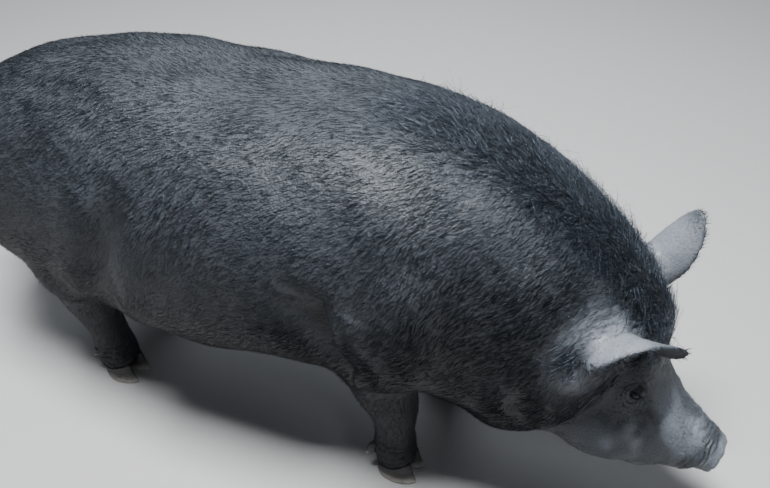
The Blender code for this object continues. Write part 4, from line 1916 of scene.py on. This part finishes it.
    def _blades(
        self, growth: Growth, part: dict[str, Array], draw: np.random.Generator
    ) -> tuple[Array, Array]:
        """Shapes the tufts of one piece.

        Args:
            growth: The kind of growth.
            part: For each tuft its root, normal and way, and more that isn't read here.
            draw: Where the random numbers come from.

        Returns:
            The corners of each tuft, ring by ring and then its tip, and how far along it each is.
        """
        count, rings = len(part["root"]), growth.rings
        normal = part["normal"]
        stray = np.radians(growth.wild) * draw.normal(size=count)
        across = np.cross(normal, part["way"])
        way = part["way"] * np.cos(stray)[:, None] + across * np.sin(stray)[:, None]
        across = np.cross(normal, way)
        clump = 1.0 + 0.14 * waves(part["root"], 0.020, Pattern.CLUMPS)
        length = growth.length * clump * draw.uniform(0.65, 1.25, count)
        width = growth.width * draw.uniform(0.55, 1.30, count)
        lift = growth.lift * draw.gamma(3.0, 1.0 / 3.0, count)
        curl = growth.curl * length * draw.normal(size=count)
        phase = draw.uniform(0.0, math.tau, count)
        points = np.zeros((count, 3 * rings + 1, 3))
        along = np.zeros((count, 3 * rings + 1))
        for ring in range(rings + 1):
            t = ring / rings
            reach = length * t
            height = lift * (1.7 * t - 0.7 * t * t) - growth.bend * reach**2 / 2.0 - ROOT_DEPTH * (1.0 - t)
            middle = part["root"] + way * reach[:, None] + normal * height[:, None]
            swing = curl * t * (t + 0.7 * np.sin(4.0 * t + phase) - 0.7 * np.sin(phase))
            middle = middle + across * swing[:, None]
            if ring == rings:
                points[:, -1], along[:, -1] = middle, 1.0
                continue
            half = width * (1.0 - TAPER * t**1.5) / 2.0
            for k, (side, up) in enumerate(BLADE):
                corner = middle + across * (side * half)[:, None] + normal * (up * half)[:, None]
                points[:, 3 * ring + k], along[:, 3 * ring + k] = corner, t
        return points, along


def blade_faces(rings: int) -> list[tuple[int, int, int]]:
    """The faces of one tuft, closed at its root and its tip.

    Args:
        rings: How many rings of three corners it has below its tip.

    Returns:
        The three corner numbers of each face.
    """
    faces = [(0, 2, 1)]
    for low in range(0, 3 * (rings - 1), 3):
        for k in range(3):
            a, b = low + k, low + (k + 1) % 3
            faces += [(a, b, b + 3), (a, b + 3, a + 3)]
    low = 3 * (rings - 1)
    return faces + [(low + k, low + (k + 1) % 3, 3 * rings) for k in range(3)]


# ---------------------------------------------------------------- the claws
@dataclass
class Claws:
    """The claws and dewclaws, finer and more worn than the solid ones."""

    voxel: float = 0.0017
    small_voxel: float = 0.0012
    top: float = 0.046  # of the coronet over the floor
    sunk: float = 0.006  # how much further they reach into the leg
    rounds: int = 6  # of smoothing
    ring: float = 0.0052  # from one growth ring to the next
    ring_wander: float = 0.0012
    ring_height: float = 0.00028
    worn: float = 0.00015
    sole: float = 0.0008  # what is lower than this is pressed flat

    def build(self, look: bpy.types.Material) -> list[bpy.types.Object]:
        """Makes one piece for each solid claw."""
        names = sorted(o.name for o in bpy.data.objects if "claw_" in o.name)
        return [self._one(name, look) for name in names]

    def _one(self, name: str, look: bpy.types.Material) -> bpy.types.Object:
        """Makes a claw out of its solid one.

        Args:
            name: The solid's name.
            look: The horn's material.

        Returns:
            The claw.
        """
        small = name.startswith("dewclaw")
        mesh = voxel_mesh(mesh_of(solid_shell(name), name), self.small_voxel if small else self.voxel)
        points = points_of(mesh)
        points = even_out(points, edges_of(mesh), self.rounds, np.ones(len(points)))
        put_points(mesh, points)
        normals = normals_of(mesh)
        height = points[:, 2] - points[:, 2].min()
        points = self._rooted(points, height, name)
        wander = self.ring_wander * waves(points, 0.03, Pattern.HORN_WANDER)
        rings = np.cos((height + wander) / self.ring * math.tau)
        upright = smoothstep(np.abs(normals[:, 2]), 0.75, 0.35)
        points = points + normals * (upright * (self.ring_height * rings - self.worn))[:, None]
        if not small:
            points[:, 2] = np.maximum(points[:, 2], 0.0)
            points[points[:, 2] < self.sole, 2] = 0.0
        put_points(mesh, points)
        write_mark(mesh, "height", height / (np.ptp(points[:, 2]) if small else self.top))
        mesh.shade_smooth()
        made = place(mesh, name.replace("claw", "horn"), look)
        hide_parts(name)
        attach(made, "root")
        return made

    def _rooted(self, points: Array, height: Array, name: str) -> Array:
        """Reaches the root of a claw further into the leg.

        Args:
            points: The claw's points.
            height: How high they are over its lowest one.
            name: The solid's name, which tells the foot and the kind of claw.

        Returns:
            The points, with those near the leg moved: up on a claw, inwards on a dewclaw.
        """
        if name.startswith("claw"):
            rise = self.sunk * smoothstep(height, 0.55 * np.ptp(height), np.ptp(height))
            return points + rise[:, None] * np.array((0.0, 0.0, 1.0))
        foot_x, foot_y = FEET["fore" if "fore" in name else "hind"]
        middle = points.mean(axis=0)
        leg = np.array((foot_x, math.copysign(foot_y, points[0, 1]), points[:, 2].mean()))
        inward = leg - middle
        inward /= np.linalg.norm(inward)
        deep = (points - middle) @ inward
        return points + inward * (self.sunk * smoothstep(deep, -0.004, 0.006))[:, None]


# ---------------------------------------------------------------- the studio
@dataclass(frozen=True)
class Lamp:
    """A soft square light: where it is, what it looks at, its side, power and colour."""

    name: str
    at: Point
    side: float
    power: float
    color: Color = (1.0, 1.0, 1.0)
    target: Point = (0.0, 0.0, 0.30)

    def build(self) -> bpy.types.Object:
        """Puts the light in the scene.

        Returns:
            The light.
        """
        data = bpy.data.lights.new(self.name, "AREA")
        data.size = self.side
        data.energy = self.power
        data.color = self.color
        made = linked(self.name, data)
        made.location = self.at
        toward = Vector(self.target) - Vector(self.at)
        made.rotation_euler = toward.to_track_quat("-Z", "Y").to_euler()
        return made


@dataclass
class Studio:
    """The floor, the lights, the sky and the camera."""

    camera_at: Point = (0.5484, -0.8898, 1.1200)
    azimuth: float = 24.0
    elevation: float = 38.0
    lens: float = 38.34
    sensor: float = 36.0
    floor_side: float = 40.0
    sky: Color = (0.80, 0.87, 1.00)
    sky_strength: float = 0.10
    lamps: tuple[Lamp, ...] = (
        Lamp("key", (0.10, -0.50, 3.0), 1.0, 345.0, (0.98, 0.99, 1.0)),
        Lamp("rim", (-0.7, 2.1, 2.2), 1.4, 35.0, (0.88, 0.94, 1.0)),
        Lamp("front", (2.2, -1.5, 1.9), 0.6, 8.0, (0.95, 0.97, 1.0)),
    )

    def build(self, floor_look: bpy.types.Material) -> None:
        """Makes all of it.

        Args:
            floor_look: The floor's material.
        """
        half = self.floor_side / 2.0
        corners = np.array([(-half, -half, 0.0), (half, -half, 0.0), (half, half, 0.0), (-half, half, 0.0)])
        floor = place(mesh_from("floor", corners, np.array([(0, 1, 2), (0, 2, 3)])), "floor", floor_look)
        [lamp.build() for lamp in self.lamps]
        world = bpy.data.worlds.new("studio")
        world.use_nodes = True
        backdrop = world.node_tree.nodes["Background"]
        backdrop.inputs["Color"].default_value = (*self.sky, 1.0)
        backdrop.inputs["Strength"].default_value = self.sky_strength
        bpy.context.scene.world = world
        self._camera()

    def _camera(self) -> None:
        """Puts the camera above the floor, looking down at the pig from its right."""
        data = bpy.data.cameras.new("camera")
        data.lens = self.lens
        data.sensor_width = self.sensor
        data.clip_start = 0.01
        made = linked("camera", data)
        made.location = self.camera_at
        tilt = math.radians(90.0 - self.elevation)
        made.rotation_euler = (tilt, 0.0, math.radians(self.azimuth))
        bpy.context.scene.camera = made


def main() -> None:
    """Builds the pig in order and reports each piece."""
    logging.basicConfig(level=logging.INFO, format="%(name)s: %(message)s")
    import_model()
    hide = Hide()
    skin, anatomy = hide.build(HideFinish().material())
    LOG.info("skin of %d faces", len(skin.data.polygons))
    eye_look = EyeFinish().material()
    for eye in hide.eyes:
        LOG.info("%s", eye.build(hide.head, eye_look).name)
    for claw in Claws().build(HornFinish().material()):
        LOG.info("%s of %d faces", claw.name, len(claw.data.polygons))
    # The copy with little shine stands in for shade on the undersides and legs.
    glossy, dull = BristleFinish(), BristleFinish(shine=0.05, name="pig_dull_bristle")
    for piece in Coat(skin, anatomy, glossy.material(), dull.material(), hide.eyes).build():
        LOG.info("%s of %d triangles", piece.name, len(piece.data.polygons))
    Studio().build(FloorFinish().material())


if __name__ == "__main__":
    main()
